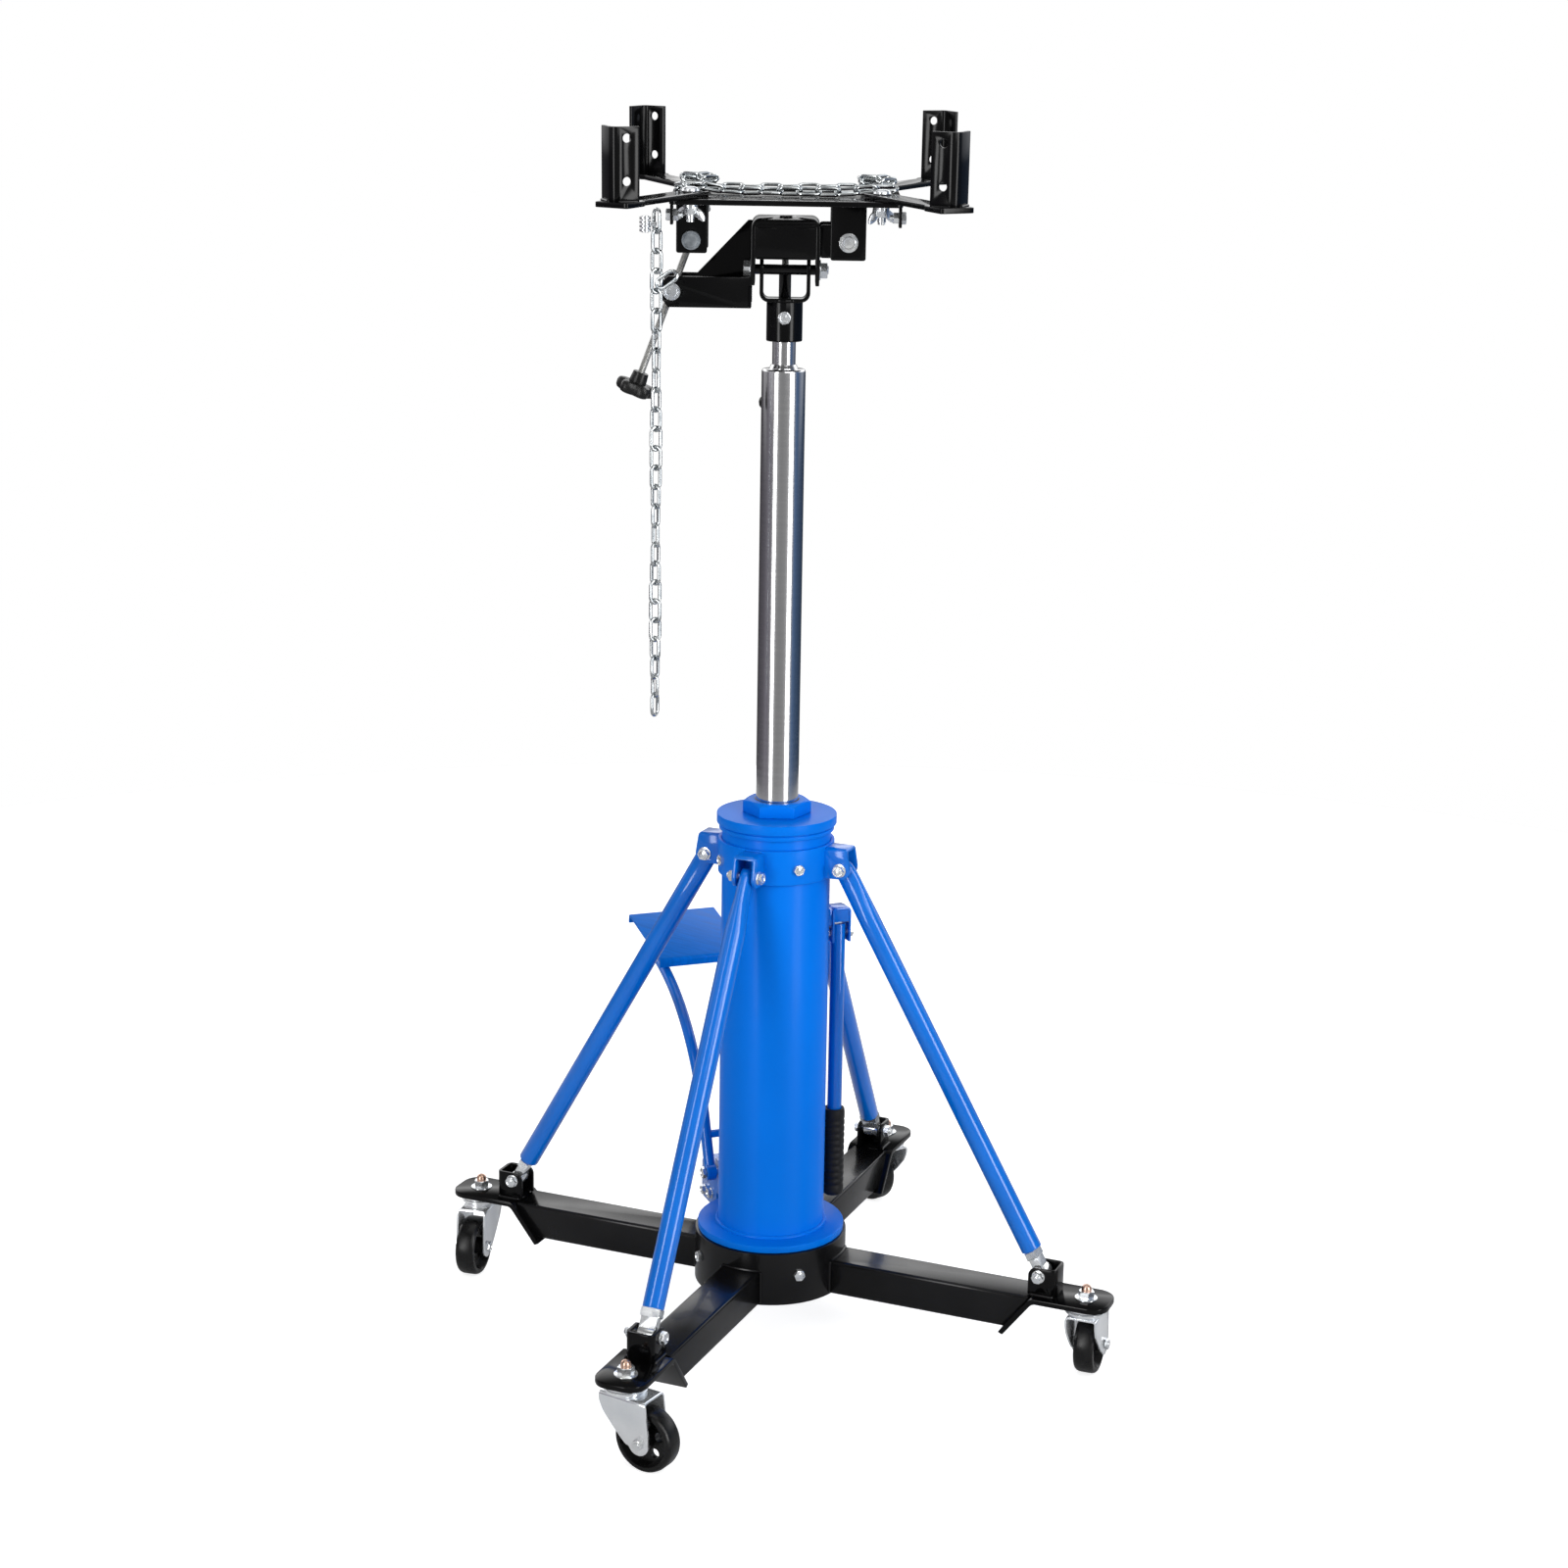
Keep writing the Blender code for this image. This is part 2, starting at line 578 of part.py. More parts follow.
def tilt_bracket(saddle, black):
    """Inverted box over the yoke, with an arm to each side: the left one carries the side screw."""
    wide, deep, wall = CAP_HALF_WIDTH, CAP_HALF_DEPTH, CAP_WALL
    corner = 0.008
    shell = [(-wide, -0.016), (wide, -0.016)]
    shell += arc((wide - corner, CAP_HEIGHT - corner), corner, 0, 90, 4)
    shell += arc((-wide + corner, CAP_HEIGHT - corner), corner, 90, 180, 4)
    bracket = node("tilt_bracket", prism(shell, -deep, deep, "y"), black, saddle)
    cut(bracket, box((-wide + wall, -deep + wall, -0.1), (wide - wall, deep - wall, CAP_HEIGHT - wall)))
    for sign in (-1, 1):
        near, far = sorted((sign * 0.022, sign * 0.05))
        cut(bracket, box((-0.05, near, -0.1), (0.05, far, 0.0147)))
    cut(bracket, box((-0.007, -0.012, 0.04), (0.007, 0.021, 0.07)))
    cut(bracket, box((-0.008, 0.020, 0.0), (0.008, 0.05, 0.036)))
    box_top, box_low = -0.007, -0.042
    end = SIDE_LOWER.x - 0.0105
    channel = [(-0.0365, box_low), (end + 0.006, box_low), (end, box_low + 0.008), (end, box_top - 0.005),
               (end + 0.006, box_top), (-0.0365, box_top)]
    gusset = [(-0.0365, box_low), (end + 0.006, box_low), (end, box_low + 0.008), (end, box_top - 0.005),
              (end + 0.006, box_top), (-0.101, box_top), (-0.043, 0.0535), (-0.0365, 0.0535)]
    weld(bracket, prism(channel, -0.023, -0.0185, "y"), prism(gusset, 0.0185, 0.023, "y"))
    weld(bracket, box((-0.100, -0.0225, box_low + 0.0005), (-0.0370, 0.0225, box_low + 0.0045)))
    right = [(0.0365, 0.016), (0.087, 0.016), (0.090, 0.019), (0.090, 0.050), (0.087, 0.053), (0.0365, 0.053)]
    weld(bracket, prism(right, -0.023, -0.0185, "y"), prism(right, 0.0185, 0.023, "y"))
    weld(bracket, box((0.037, -0.0225, 0.0165), (0.060, 0.0225, 0.0205)))
    across = Vector((0, 0.04, 0))
    cut(bracket, rod((-0.06, 0, 0), (0.06, 0, 0), clear(PIN_RADIUS, 16), 16))
    cut(bracket, rod(SADDLE_PIVOT - across, SADDLE_PIVOT + across, clear(PIN_RADIUS, 16), 16))
    cut(bracket, rod(SIDE_LOWER - across, SIDE_LOWER + across, clear(0.0085, 16), 16))


def saddle_pivot_bolt(saddle, zinc):
    half = 0.0345
    across = Vector((0, half, 0))
    bolt = node("saddle_pivot_bolt", rod(SADDLE_PIVOT - across, SADDLE_PIVOT + across, PIN_RADIUS), zinc, saddle,
                SADDLE_PIVOT)
    for sign in (-1, 1):
        near = SADDLE_PIVOT + Vector((0, sign * 0.0293, 0))
        weld(bolt, rod(near, near + Vector((0, sign * 0.0070, 0)), 0.0110, 6))


def saddle_plate(saddle, black):
    """Flat saddle plate with the pivot bracket under its right end and the screw's at its left."""
    corner = 0.010
    long, deep = SADDLE_HALF_LENGTH, SADDLE_HALF_DEPTH
    outline = arc((long - corner, deep - corner), corner, 0, 90, 3)
    outline += arc((-long + corner, deep - corner), corner, 90, 180, 3)
    outline += arc((-long + corner, -deep + corner), corner, 180, 270, 3)
    outline += arc((long - corner, -deep + corner), corner, 270, 360, 3)
    plate = node("saddle_plate", prism(outline, SADDLE_BOTTOM, SADDLE_TOP), black, saddle, SADDLE_PIVOT)
    inner, outer = 0.0240, 0.0290
    top = SADDLE_BOTTOM + 0.002
    right = [(0.051, top), (0.051, 0.0165), (0.0535, 0.014), (0.0885, 0.014), (0.091, 0.0165), (0.091, top)]
    left = [(-0.124, top), (-0.124, 0.0225), (-0.1215, 0.020), (-0.0915, 0.020), (-0.089, 0.0225), (-0.089, top)]
    for outline in (right, left):
        weld(plate, prism(outline, -outer, -inner, "y"), prism(outline, inner, outer, "y"))
    across = Vector((0, 0.04, 0))
    cut(plate, rod(SADDLE_PIVOT - across, SADDLE_PIVOT + across, clear(PIN_RADIUS, 16), 16))
    cut(plate, rod(SIDE_UPPER - across, SIDE_UPPER + across, 0.0088, 16))


def saddle_arm(name, side, depth, saddle, black):
    """Flat bar that swings on a bolt at a plate corner and ends in a holed angle upright."""
    pivot = Vector((side * ARM_BOLT.x, depth * ARM_BOLT.y, SADDLE_TOP + GAP))
    angle = math.radians(ARM_ANGLES[name])
    along = Vector((side * math.cos(angle), depth * math.sin(angle)))
    across = Vector((-along.y, along.x))

    def place(u, v):
        return (pivot.x + along.x * u + across.x * v, pivot.y + along.y * u + across.y * v)

    half, pad = 0.015, 0.0205
    outline = [place(u, v) for u, v in arc((-0.015, 0), half, 90, 270, 8)]
    outline += [place(ARM_REACH - 0.042, -half), place(ARM_REACH - 0.034, -pad), place(ARM_REACH + 0.002, -pad)]
    outline += [place(ARM_REACH + 0.002, pad), place(ARM_REACH - 0.034, pad), place(ARM_REACH - 0.042, half)]
    arm = node(f"saddle_arm_{name}", prism(outline, pivot.z, pivot.z + ARM_THICKNESS), black, saddle, pivot)
    corner = Vector(place(ARM_REACH, 0))
    lean = angle + UPRIGHT_LEAN
    one = Vector((-side * math.cos(lean), -depth * math.sin(lean)))
    two = Vector((side * math.sin(lean), -depth * math.cos(lean)))
    width, wall, bend = UPRIGHT_WIDTH, UPRIGHT_WALL, 0.006
    flanges = [(0, width), (0, bend)]
    flanges += arc((bend, bend), bend, 180, 270, 4)[1:]
    flanges += [(width, 0), (width, wall), (bend, wall), (wall, bend), (wall, width)]
    section = [corner + one * u + two * v for u, v in flanges]
    section = [(point.x, point.y) for point in section]
    weld(arm, prism(section, pivot.z + 0.002, UPRIGHT_TOP))
    normal = Vector((-one.y, one.x, 0))
    centre = corner + one * 0.018
    for height in UPRIGHT_HOLES:
        spot = Vector((centre.x, centre.y, height))
        cut(arm, rod(spot - normal * 0.015, spot + normal * 0.015, 0.0048, 12))


# Tilt screws.


def tilt_screw(prefix, lower, upper, across, parts, parent, black, zinc):
    """A screw through a lower and an upper trunnion, with a knob at its lower end."""
    along = (upper - lower).normalized()
    hole = clear(SCREW_RADIUS, 12)
    for level, centre in (("lower", lower), ("upper", upper)):
        pieces = parts[level]
        half, radius = pieces[0]
        trunnion = node(f"{prefix}_{level}_trunnion", rod(centre - across * half, centre + across * half, radius),
                        zinc, parent, centre)
        for start, end, size in pieces[1:]:
            weld(trunnion, rod(centre + across * start, centre + across * end, size))
            weld(trunnion, rod(centre - across * start, centre - across * end, size))
        cut(trunnion, rod(centre - along * 0.03, centre + along * 0.03, hole, 12))
    knob_at = lower - along * parts["knob_distance"]
    screw = rod(knob_at + along * 0.010, upper + along * parts["tip"], SCREW_RADIUS, 12)
    screw = node(f"{prefix}_tilt_screw", screw, zinc, parent, lower)
    for near, far in parts["sleeves"]:
        weld(screw, rod(lower + along * near, lower + along * far, 0.0072, 12))
    tips = 5
    outline = []
    for k in range(tips):
        centre = 360 * k / tips + parts["knob_turn"]
        outline += [(parts["knob_radius"] * math.cos(math.radians(centre + a)) * s,
                     parts["knob_radius"] * math.sin(math.radians(centre + a)) * s)
                    for a, s in ((-18, 0.97), (0, 1.0), (18, 0.97), (36, 0.74))]
    star = prism(outline, -0.012, 0.002)
    turn = along.to_track_quat("Z", "Y").to_matrix().to_4x4()
    place = Matrix.Translation(knob_at) @ turn
    star.transform(place)
    knob = node(f"{prefix}_tilt_knob", star, black, parent, lower)
    boss = turned([(0, -0.004), (0.010, -0.004), (0.009, 0.0145), (0, 0.0145)], 16)
    boss.transform(place)
    weld(knob, boss)
    socket = turned([(0, 0.0097), (hole, 0.0097), (hole, 0.020), (0, 0.020)], 12)
    socket.transform(place)
    cut(knob, socket)


# Foot pump.


def pump_body(pump, blue):
    """Pump block on the column's foot, with the lever's pivot boss and the plunger's bore."""
    outline = [
        (TUBE_RADIUS + 0.0008, FLANGE_TOP + GAP),
        (0.098, FLANGE_TOP + GAP),
        (0.098, 0.116),
        (0.102, 0.112),
        (0.151, 0.112),
        (0.155, 0.116),
        (0.155, 0.160),
        (0.140, 0.172),
        (0.108, 0.172),
        (0.104, 0.181),
        (0.081, 0.181),
        (0.0663, 0.172),
    ]
    body = node("pump_body", prism(outline, -PUMP_HALF_WIDTH, PUMP_HALF_WIDTH, "y"), blue, pump)
    cut(body, rod((0, 0, 0.10), (0, 0, 0.20), TUBE_RADIUS + GAP + 0.0004, 32))
    pin = Vector((0, 0.05, 0))
    cut(body, rod(LEVER_PIVOT - pin, LEVER_PIVOT + pin, clear(0.005, 12), 12))
    cut(body, rod((PLUNGER_X, 0, 0.135), (PLUNGER_X, 0, 0.20), clear(0.008, 16), 16))
    cut(body, rod((0.135, 0, 0.125), (0.17, 0, 0.125), clear(0.0045, 12), 12))


def pump_plunger(pump, zinc):
    top = 0.2062
    profile = [(0, 0.1585), (0.008, 0.1585), (0.008, 0.193), (0.0115, 0.195), (0.0115, 0.203), (0.008, top), (0, top)]
    plunger = turned(profile, 16)
    plunger.transform(Matrix.Translation((PLUNGER_X, 0, 0)))
    node("pump_plunger", plunger, zinc, pump, (PLUNGER_X, 0, 0.172))


def lever_path():
    """Straight up from the pivot, then bending outwards to the tread."""
    bend_start = Vector((0.117, 0, 0.233))
    steep, shallow = math.radians(67), math.radians(15)
    radius = 0.2604
    points = [LEVER_PIVOT.copy(), LEVER_LINK.copy(), bend_start]
    centre = bend_start + Vector((math.sin(steep), 0, -math.cos(steep))) * radius
    steps = 9
    for i in range(1, steps + 1):
        angle = steep + (shallow - steep) * i / steps
        points.append(centre + Vector((-math.sin(angle), 0, math.cos(angle))) * radius)
    points.append(points[-1] + Vector((math.cos(shallow), 0, math.sin(shallow))) * 0.055)
    return points


def pedal_lever(pump, blue):
    """Two curved side tubes on the pivot pin, joined by the bar that presses the plunger."""
    across = Vector((0, LEVER_HALF_SPAN, 0))
    eye = Vector((0, 0.006, 0))
    lever = None
    for sign in (-1, 1):
        tube = swept([point + across * sign for point in lever_path()], LEVER_RADIUS)
        if lever is None:
            lever = node("pedal_lever", tube, blue, pump, LEVER_PIVOT)
        else:
            weld(lever, tube)
        centre = LEVER_PIVOT + across * sign
        weld(lever, rod(centre - eye, centre + eye, 0.0105, 14))
    weld(lever, rod(LEVER_LINK - across, LEVER_LINK + across, 0.005, 12))
    pin = Vector((0, 0.06, 0))
    cut(lever, rod(LEVER_PIVOT - pin, LEVER_PIVOT + pin, clear(0.005, 12), 12))


def lever_pin(pump, zinc):
    half = LEVER_HALF_SPAN + 0.0075
    across = Vector((0, half, 0))
    pin = node("lever_pin", rod(LEVER_PIVOT - across, LEVER_PIVOT + across, 0.005, 12), zinc, pump, LEVER_PIVOT)
    for sign in (-1, 1):
        near = LEVER_PIVOT + Vector((0, sign * (half - 0.0001), 0))
        weld(pin, rod(near, near + Vector((0, sign * 0.004, 0)), 0.0075, 6))


def pedal_tread(pump, blue):
    """Channel-shaped tread with ribs that sit on the lever's two tubes."""
    along = (TREAD_FAR - TREAD_NEAR).normalized()
    down = Vector((along.z, 0, -along.x))
    wall, lip = 0.0035, 0.012
    corners = [
        TREAD_NEAR,
        TREAD_FAR,
        TREAD_FAR + down * lip,
        TREAD_FAR + down * lip - along * wall,
        TREAD_FAR + down * wall - along * wall,
        TREAD_NEAR + down * wall + along * wall,
        TREAD_NEAR + down * lip + along * wall,
        TREAD_NEAR + down * lip,
    ]
    outline = [(point.x, point.z) for point in corners]
    tread = node("pedal_tread", prism(outline, -TREAD_HALF_WIDTH, TREAD_HALF_WIDTH, "y"), blue, pump, LEVER_PIVOT)
    tube_top = lever_path()[-1] + Vector((-math.sin(math.radians(15)), 0, math.cos(math.radians(15)))) * 0.0074
    slope = math.tan(math.radians(15))
    rib = [(0.292, tube_top.z - slope * (tube_top.x - 0.292)), (0.336, tube_top.z - slope * (tube_top.x - 0.336)),
           (0.336, 0.4105), (0.292, 0.4025)]
    for sign in (-1, 1):
        centre = sign * LEVER_HALF_SPAN
        weld(tread, prism(rib, centre - 0.003, centre + 0.003, "y"))


def release_valve(pump, zinc):
    stem = rod((0.1380, 0, 0.125), (0.166, 0, 0.125), 0.0045, 12)
    valve = node("release_valve", stem, zinc, pump, (0.155, 0, 0.125))
    weld(valve, rod((0.162, 0, 0.125), (0.171, 0, 0.125), 0.008, 12))
    weld(valve, rod((0.1665, -0.019, 0.125), (0.1665, 0.019, 0.125), 0.003, 10))


# Push handle.


def push_handle(holder, blue, zinc, rubber):
    inner = (0.0713, 0.0738)
    outer = (0.0932, 0.0957)
    half = 0.0115
    low, top = 0.490, 0.5335
    bracket = node("handle_bracket", box((inner[0], -half, low), (inner[1], half, top)), blue, holder)
    weld(bracket, box((outer[0], -half, low), (outer[1], half, top)))
    weld(bracket, box((0.0715, -half + 0.0003, 0.5155), (0.0955, half - 0.0003, top - 0.0004)))
    weld(bracket, box((0.0662, -half + 0.002, 0.512), (0.0725, half - 0.002, 0.5325)))
    start = Vector((0.05, 0, HANDLE_PIVOT.z))
    end = Vector((0.12, 0, HANDLE_PIVOT.z))
    hole = clear(0.004, 12)
    cut(bracket, rod(start, end, hole, 12))
    bolt = rod((0.0682, 0, HANDLE_PIVOT.z), (0.0985, 0, HANDLE_PIVOT.z), 0.004, 12)
    bolt = node("handle_bolt", bolt, zinc, holder, HANDLE_PIVOT)
    weld(bolt, rod((0.0680, 0, HANDLE_PIVOT.z), (0.0710, 0, HANDLE_PIVOT.z), 0.0065, 6))
    weld(bolt, rod((0.0960, 0, HANDLE_PIVOT.z), (0.1005, 0, HANDLE_PIVOT.z), 0.0065, 6))
    tube = rod((HANDLE_PIVOT.x, 0, GRIP_BOTTOM + 0.006), (HANDLE_PIVOT.x, 0, 0.5115), HANDLE_RADIUS, 16)
    tube = node("handle_tube", tube, blue, holder, HANDLE_PIVOT)
    cut(tube, rod(start, end, hole, 12))
    bore = HANDLE_RADIUS + GAP
    floor = GRIP_BOTTOM + 0.0055
    grip = [(0, GRIP_BOTTOM), (GRIP_RADIUS - 0.002, GRIP_BOTTOM), (GRIP_RADIUS, GRIP_BOTTOM + 0.002),
            (GRIP_RADIUS, GRIP_TOP - 0.001), (GRIP_RADIUS - 0.001, GRIP_TOP), (bore, GRIP_TOP), (bore, floor),
            (0, floor)]
    grip = turned(grip, 16)
    grip.transform(Matrix.Translation((HANDLE_PIVOT.x, 0, 0)))
    node("handle_grip", grip, rubber, holder, HANDLE_PIVOT)


# Chain.


def chains(head, saddle, zinc):
    """Plain stand-ins: the loose strand at the left, and the loop that lies over the saddle."""
    half = CHAIN_HALF_WIDTH
    low = (CHAIN_TOP.x - half, CHAIN_TOP.y - half, CHAIN_BOTTOM_Z)
    high = (CHAIN_TOP.x + half, CHAIN_TOP.y + half, CHAIN_TOP.z)
    node("chain_hanging", box(low, high), zinc, head, CHAIN_TOP)
    bottom = SADDLE_TOP + GAP + ARM_THICKNESS + GAP
    rear, front, end = 0.003, -0.062, 0.128
    outline = [
        (end, rear + half),
        (-end, rear + half),
        (-end, front - half),
        (end, front - half),
        (end, front + half),
        (-end + 2 * half, front + half),
        (-end + 2 * half, rear - half),
        (end, rear - half),
    ]
    node("chain_saddle", prism(outline, bottom, bottom + 0.010), zinc, saddle, SADDLE_PIVOT)


def main():
    clear_scene()
    blue = paint("blue_paint", (0.0, 0.12, 0.72), 0.25, 0.0)
    black = paint("black_paint", (0.012, 0.012, 0.014), 0.3, 0.0)
    chrome = paint("chrome", (0.62, 0.62, 0.63), 0.15, 1.0)
    zinc = paint("zinc", (0.66, 0.68, 0.70), 0.3, 1.0)
    rubber = paint("black_rubber", (0.02, 0.02, 0.02), 0.6, 0.0)
    world = frame("column_frame")
    head = frame("head_frame", HEAD_TURN)
    saddle = frame("saddle_frame", HEAD_TURN, HEAD_TILT, YOKE_BOLT_Z)
    pump = frame("pump_frame", PUMP_TURN)
    holder = frame("handle_frame", HANDLE_TURN)

    base_hub(world, black)
    for side, turn in LEG_TURNS.items():
        parent = frame(f"leg_frame_{side}", math.radians(turn))
        leg(side, parent, black)
        brace(side, parent, blue, zinc)
        castor(side, parent, zinc, rubber)
    reservoir(world, blue)
    column_cap(world, blue)
    gland_nut(world, blue)
    brace_collar(world, blue)
    rams(world, chrome)
    head_yoke(head, black)
    yoke_bolt(head, zinc)
    tilt_bracket(saddle, black)
    saddle_pivot_bolt(saddle, zinc)
    saddle_plate(saddle, black)
    for name, side, depth in (("right_rear", 1, 1), ("right_front", 1, -1), ("left_rear", -1, 1),
                              ("left_front", -1, -1)):
        saddle_arm(name, side, depth, saddle, black)
    side_parts = {
        "lower": [(0.0255, 0.0085)],
        "upper": [(0.0235, 0.0090), (0.0230, 0.0300, 0.0060), (0.0293, 0.0320, 0.0105)],
        "knob_distance": 0.1168,
        "knob_radius": SIDE_KNOB_RADIUS,
        "knob_turn": 0,
        "tip": 0.012,
        "sleeves": [],
    }
    tilt_screw("side", SIDE_LOWER, SIDE_UPPER, Vector((0, 1, 0)), side_parts, saddle, black, zinc)
    rear_parts = {
        "lower": [(0.0122, 0.0085), (0.0120, 0.0190, 0.0060)],
        "upper": [(0.0335, 0.0090)],
        "knob_distance": 0.123,
        "knob_radius": REAR_KNOB_RADIUS,
        "knob_turn": 180,
        "tip": 0.018,
        "sleeves": [(0.017, 0.056)],
    }
    tilt_screw("rear", REAR_LOWER, REAR_UPPER, Vector((1, 0, 0)), rear_parts, head, black, zinc)
    pump_body(pump, blue)
    pump_plunger(pump, zinc)
    pedal_lever(pump, blue)
    lever_pin(pump, zinc)
    pedal_tread(pump, blue)
    release_valve(pump, zinc)
    push_handle(holder, blue, zinc, rubber)
    chains(head, saddle, zinc)


main()
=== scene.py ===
"""Looks of the transmission jack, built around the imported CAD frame. Metres, +Z up."""

import json
import math

import bmesh
import bpy
from mathutils import Matrix, Vector

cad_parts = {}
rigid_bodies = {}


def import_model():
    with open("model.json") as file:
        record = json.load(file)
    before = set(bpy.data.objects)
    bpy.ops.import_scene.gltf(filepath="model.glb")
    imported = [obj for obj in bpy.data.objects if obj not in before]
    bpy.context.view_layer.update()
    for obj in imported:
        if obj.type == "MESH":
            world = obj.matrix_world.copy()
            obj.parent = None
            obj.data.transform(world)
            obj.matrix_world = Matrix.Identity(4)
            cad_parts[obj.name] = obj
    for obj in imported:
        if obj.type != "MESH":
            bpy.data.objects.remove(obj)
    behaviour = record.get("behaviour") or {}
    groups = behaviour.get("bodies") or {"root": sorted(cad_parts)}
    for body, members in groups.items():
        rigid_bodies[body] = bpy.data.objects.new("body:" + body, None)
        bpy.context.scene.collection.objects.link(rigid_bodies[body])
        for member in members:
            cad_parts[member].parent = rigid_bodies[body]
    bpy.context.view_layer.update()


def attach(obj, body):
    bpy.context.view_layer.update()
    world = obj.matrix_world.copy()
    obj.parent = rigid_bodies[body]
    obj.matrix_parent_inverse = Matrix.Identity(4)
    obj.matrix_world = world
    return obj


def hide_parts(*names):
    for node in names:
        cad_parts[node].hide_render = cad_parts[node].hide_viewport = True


for old in list(bpy.data.objects):
    bpy.data.objects.remove(old, do_unlink=True)

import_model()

# Directions of the jack's parts about the column's axis, and the saddle's lean.
HEAD_TURN = math.radians(22.75)
HEAD_TILT = math.radians(3.4)
PIVOT_Z = 1.300
LEGS = {"right": 0, "back": 90, "left": 180, "front": 270}
YAWS = {"right": 92, "back": 150, "left": -82, "front": -9}
CASTOR_REACH = 0.410
ARM_ANGLES = {"right_rear": 60, "right_front": 63.5, "left_rear": 66.5, "left_front": 62}
BRACE_LOW = Vector((0.355, 0, 0.1305))  # the clevis bolt, in a leg's frame
BRACE_HIGH = Vector((0.088, 0, 0.600))
AXLE = Vector((0.030, 0, 0.0375))  # in a castor's frame
TILT_PIVOT = Vector((0.0713, 0, 0.034))  # the saddle's, in its own frame
SIDE_LOW, SIDE_HIGH = Vector((-0.129, 0, -0.0243)), Vector((-0.107, 0, 0.0345))
REAR_LOW, REAR_HIGH = Vector((0, 0.062, 1.247)), Vector((0, 0.008, 1.342))
ARM_BOLT = Vector((0.107, 0.055))
PEDAL_PIVOT = Vector((0.0925, 0, 0.168))  # in the pump's frame


def turn_z(angle):
    return Matrix.Rotation(angle, 4, "Z")


WORLD = Matrix.Identity(4)
HEAD = turn_z(HEAD_TURN)
SADDLE = Matrix.Translation((0, 0, PIVOT_Z)) @ HEAD @ Matrix.Rotation(HEAD_TILT, 4, "X")
PUMP = turn_z(math.radians(133.5))
HANDLE = turn_z(math.radians(45))
LEG = {side: turn_z(math.radians(angle)) for side, angle in LEGS.items()}
CASTOR = {
    side: LEG[side] @ Matrix.Translation((CASTOR_REACH, 0, 0)) @ turn_z(math.radians(YAWS[side] - LEGS[side]))
    for side in LEGS
}


# Materials


def link(tree, start, end):
    tree.links.new(start, end)


def add_node(tree, kind, values=(), **settings):
    """A new node with its settings, and default values by socket name or number."""
    made = tree.nodes.new(f"ShaderNode{kind}")
    for name, value in settings.items():
        setattr(made, name, value)
    for name, value in dict(values).items():
        made.inputs[name].default_value = value
    return made


def surface(name, dark, light, rough, metallic=0.0, coat=0.0, coat_rough=0.05, spread=9.0,
            stretch=(1, 1, 1), grain=400.0, bump=0.02, ior=1.5):
    """Principled surface whose colour and roughness drift with noise, over a fine bump."""
    made = bpy.data.materials.new(name)
    made.use_nodes = True
    tree = made.node_tree
    shader = tree.nodes["Principled BSDF"]
    shader.inputs["Metallic"].default_value = metallic
    shader.inputs["Coat Weight"].default_value = coat
    shader.inputs["Coat Roughness"].default_value = coat_rough
    shader.inputs["IOR"].default_value = ior
    where = add_node(tree, "TexCoord")
    mapping = add_node(tree, "Mapping", {"Scale": stretch})
    link(tree, where.outputs["Object"], mapping.inputs["Vector"])
    drift = add_node(tree, "TexNoise", {"Scale": spread, "Detail": 5})
    link(tree, mapping.outputs["Vector"], drift.inputs["Vector"])
    tint = add_node(tree, "ValToRGB")
    for element, position, colour in zip(tint.color_ramp.elements, (0.3, 0.7), (dark, light)):
        element.position = position
        element.color = (*colour, 1)
    link(tree, drift.outputs["Fac"], tint.inputs["Fac"])
    link(tree, tint.outputs["Color"], shader.inputs["Base Color"])
    fine = add_node(tree, "TexNoise", {"Scale": grain, "Detail": 3})
    link(tree, mapping.outputs["Vector"], fine.inputs["Vector"])
    shine = add_node(tree, "MapRange",
                     {"From Min": 0.3, "From Max": 0.7, "To Min": rough[0], "To Max": rough[1]})
    link(tree, drift.outputs["Fac"], shine.inputs["Value"])
    link(tree, shine.outputs["Result"], shader.inputs["Roughness"])
    relief = add_node(tree, "Bump", {"Strength": bump, "Distance": 0.0004})
    link(tree, fine.outputs["Fac"], relief.inputs["Height"])
    link(tree, relief.outputs["Normal"], shader.inputs["Normal"])
    return made


BLUE = surface("blue_column_paint", (0.0, 0.150, 0.680), (0.0, 0.168, 0.735), (0.30, 0.36),
               coat=0.03, coat_rough=0.08, spread=6, grain=260, bump=0.05, ior=1.15)
BLUE_GLOSS = surface("blue_gloss_paint", (0.0, 0.135, 0.58), (0.0, 0.155, 0.65), (0.28, 0.34),
                     coat=0.9, coat_rough=0.07, spread=14, grain=320, bump=0.04, ior=1.15)
BLACK = surface("black_gloss_paint", (0.0012, 0.0012, 0.0014), (0.0028, 0.0028, 0.0030),
                (0.10, 0.16), spread=18, grain=300, bump=0.05, ior=1.27)
BLACK_SATIN = surface("black_satin_paint", (0.0020, 0.0020, 0.0022), (0.0050, 0.0050, 0.0055),
                      (0.20, 0.28), coat=0.12, coat_rough=0.06, spread=20, grain=420, bump=0.10, ior=1.30)
RAM = surface("ground_chrome", (0.60, 0.60, 0.615), (0.64, 0.64, 0.65), (0.11, 0.14), metallic=1.0,
              spread=4, stretch=(1, 1, 60), grain=5, bump=0.004)
ZINC = surface("bright_zinc", (0.70, 0.73, 0.77), (0.86, 0.87, 0.86), (0.12, 0.24), metallic=0.85,
               spread=60, grain=500, bump=0.10)
# Chain zinc: the zinc's own colour, made darker than the other zinc as painted shade for the shadows among
# the links.
CHAIN_ZINC_PAINTED_SHADE = surface("chain_zinc_painted_shade", (0.34, 0.37, 0.39), (0.66, 0.68, 0.68), (0.08, 0.18), metallic=1.0,
                     spread=90, grain=500, bump=0.08)
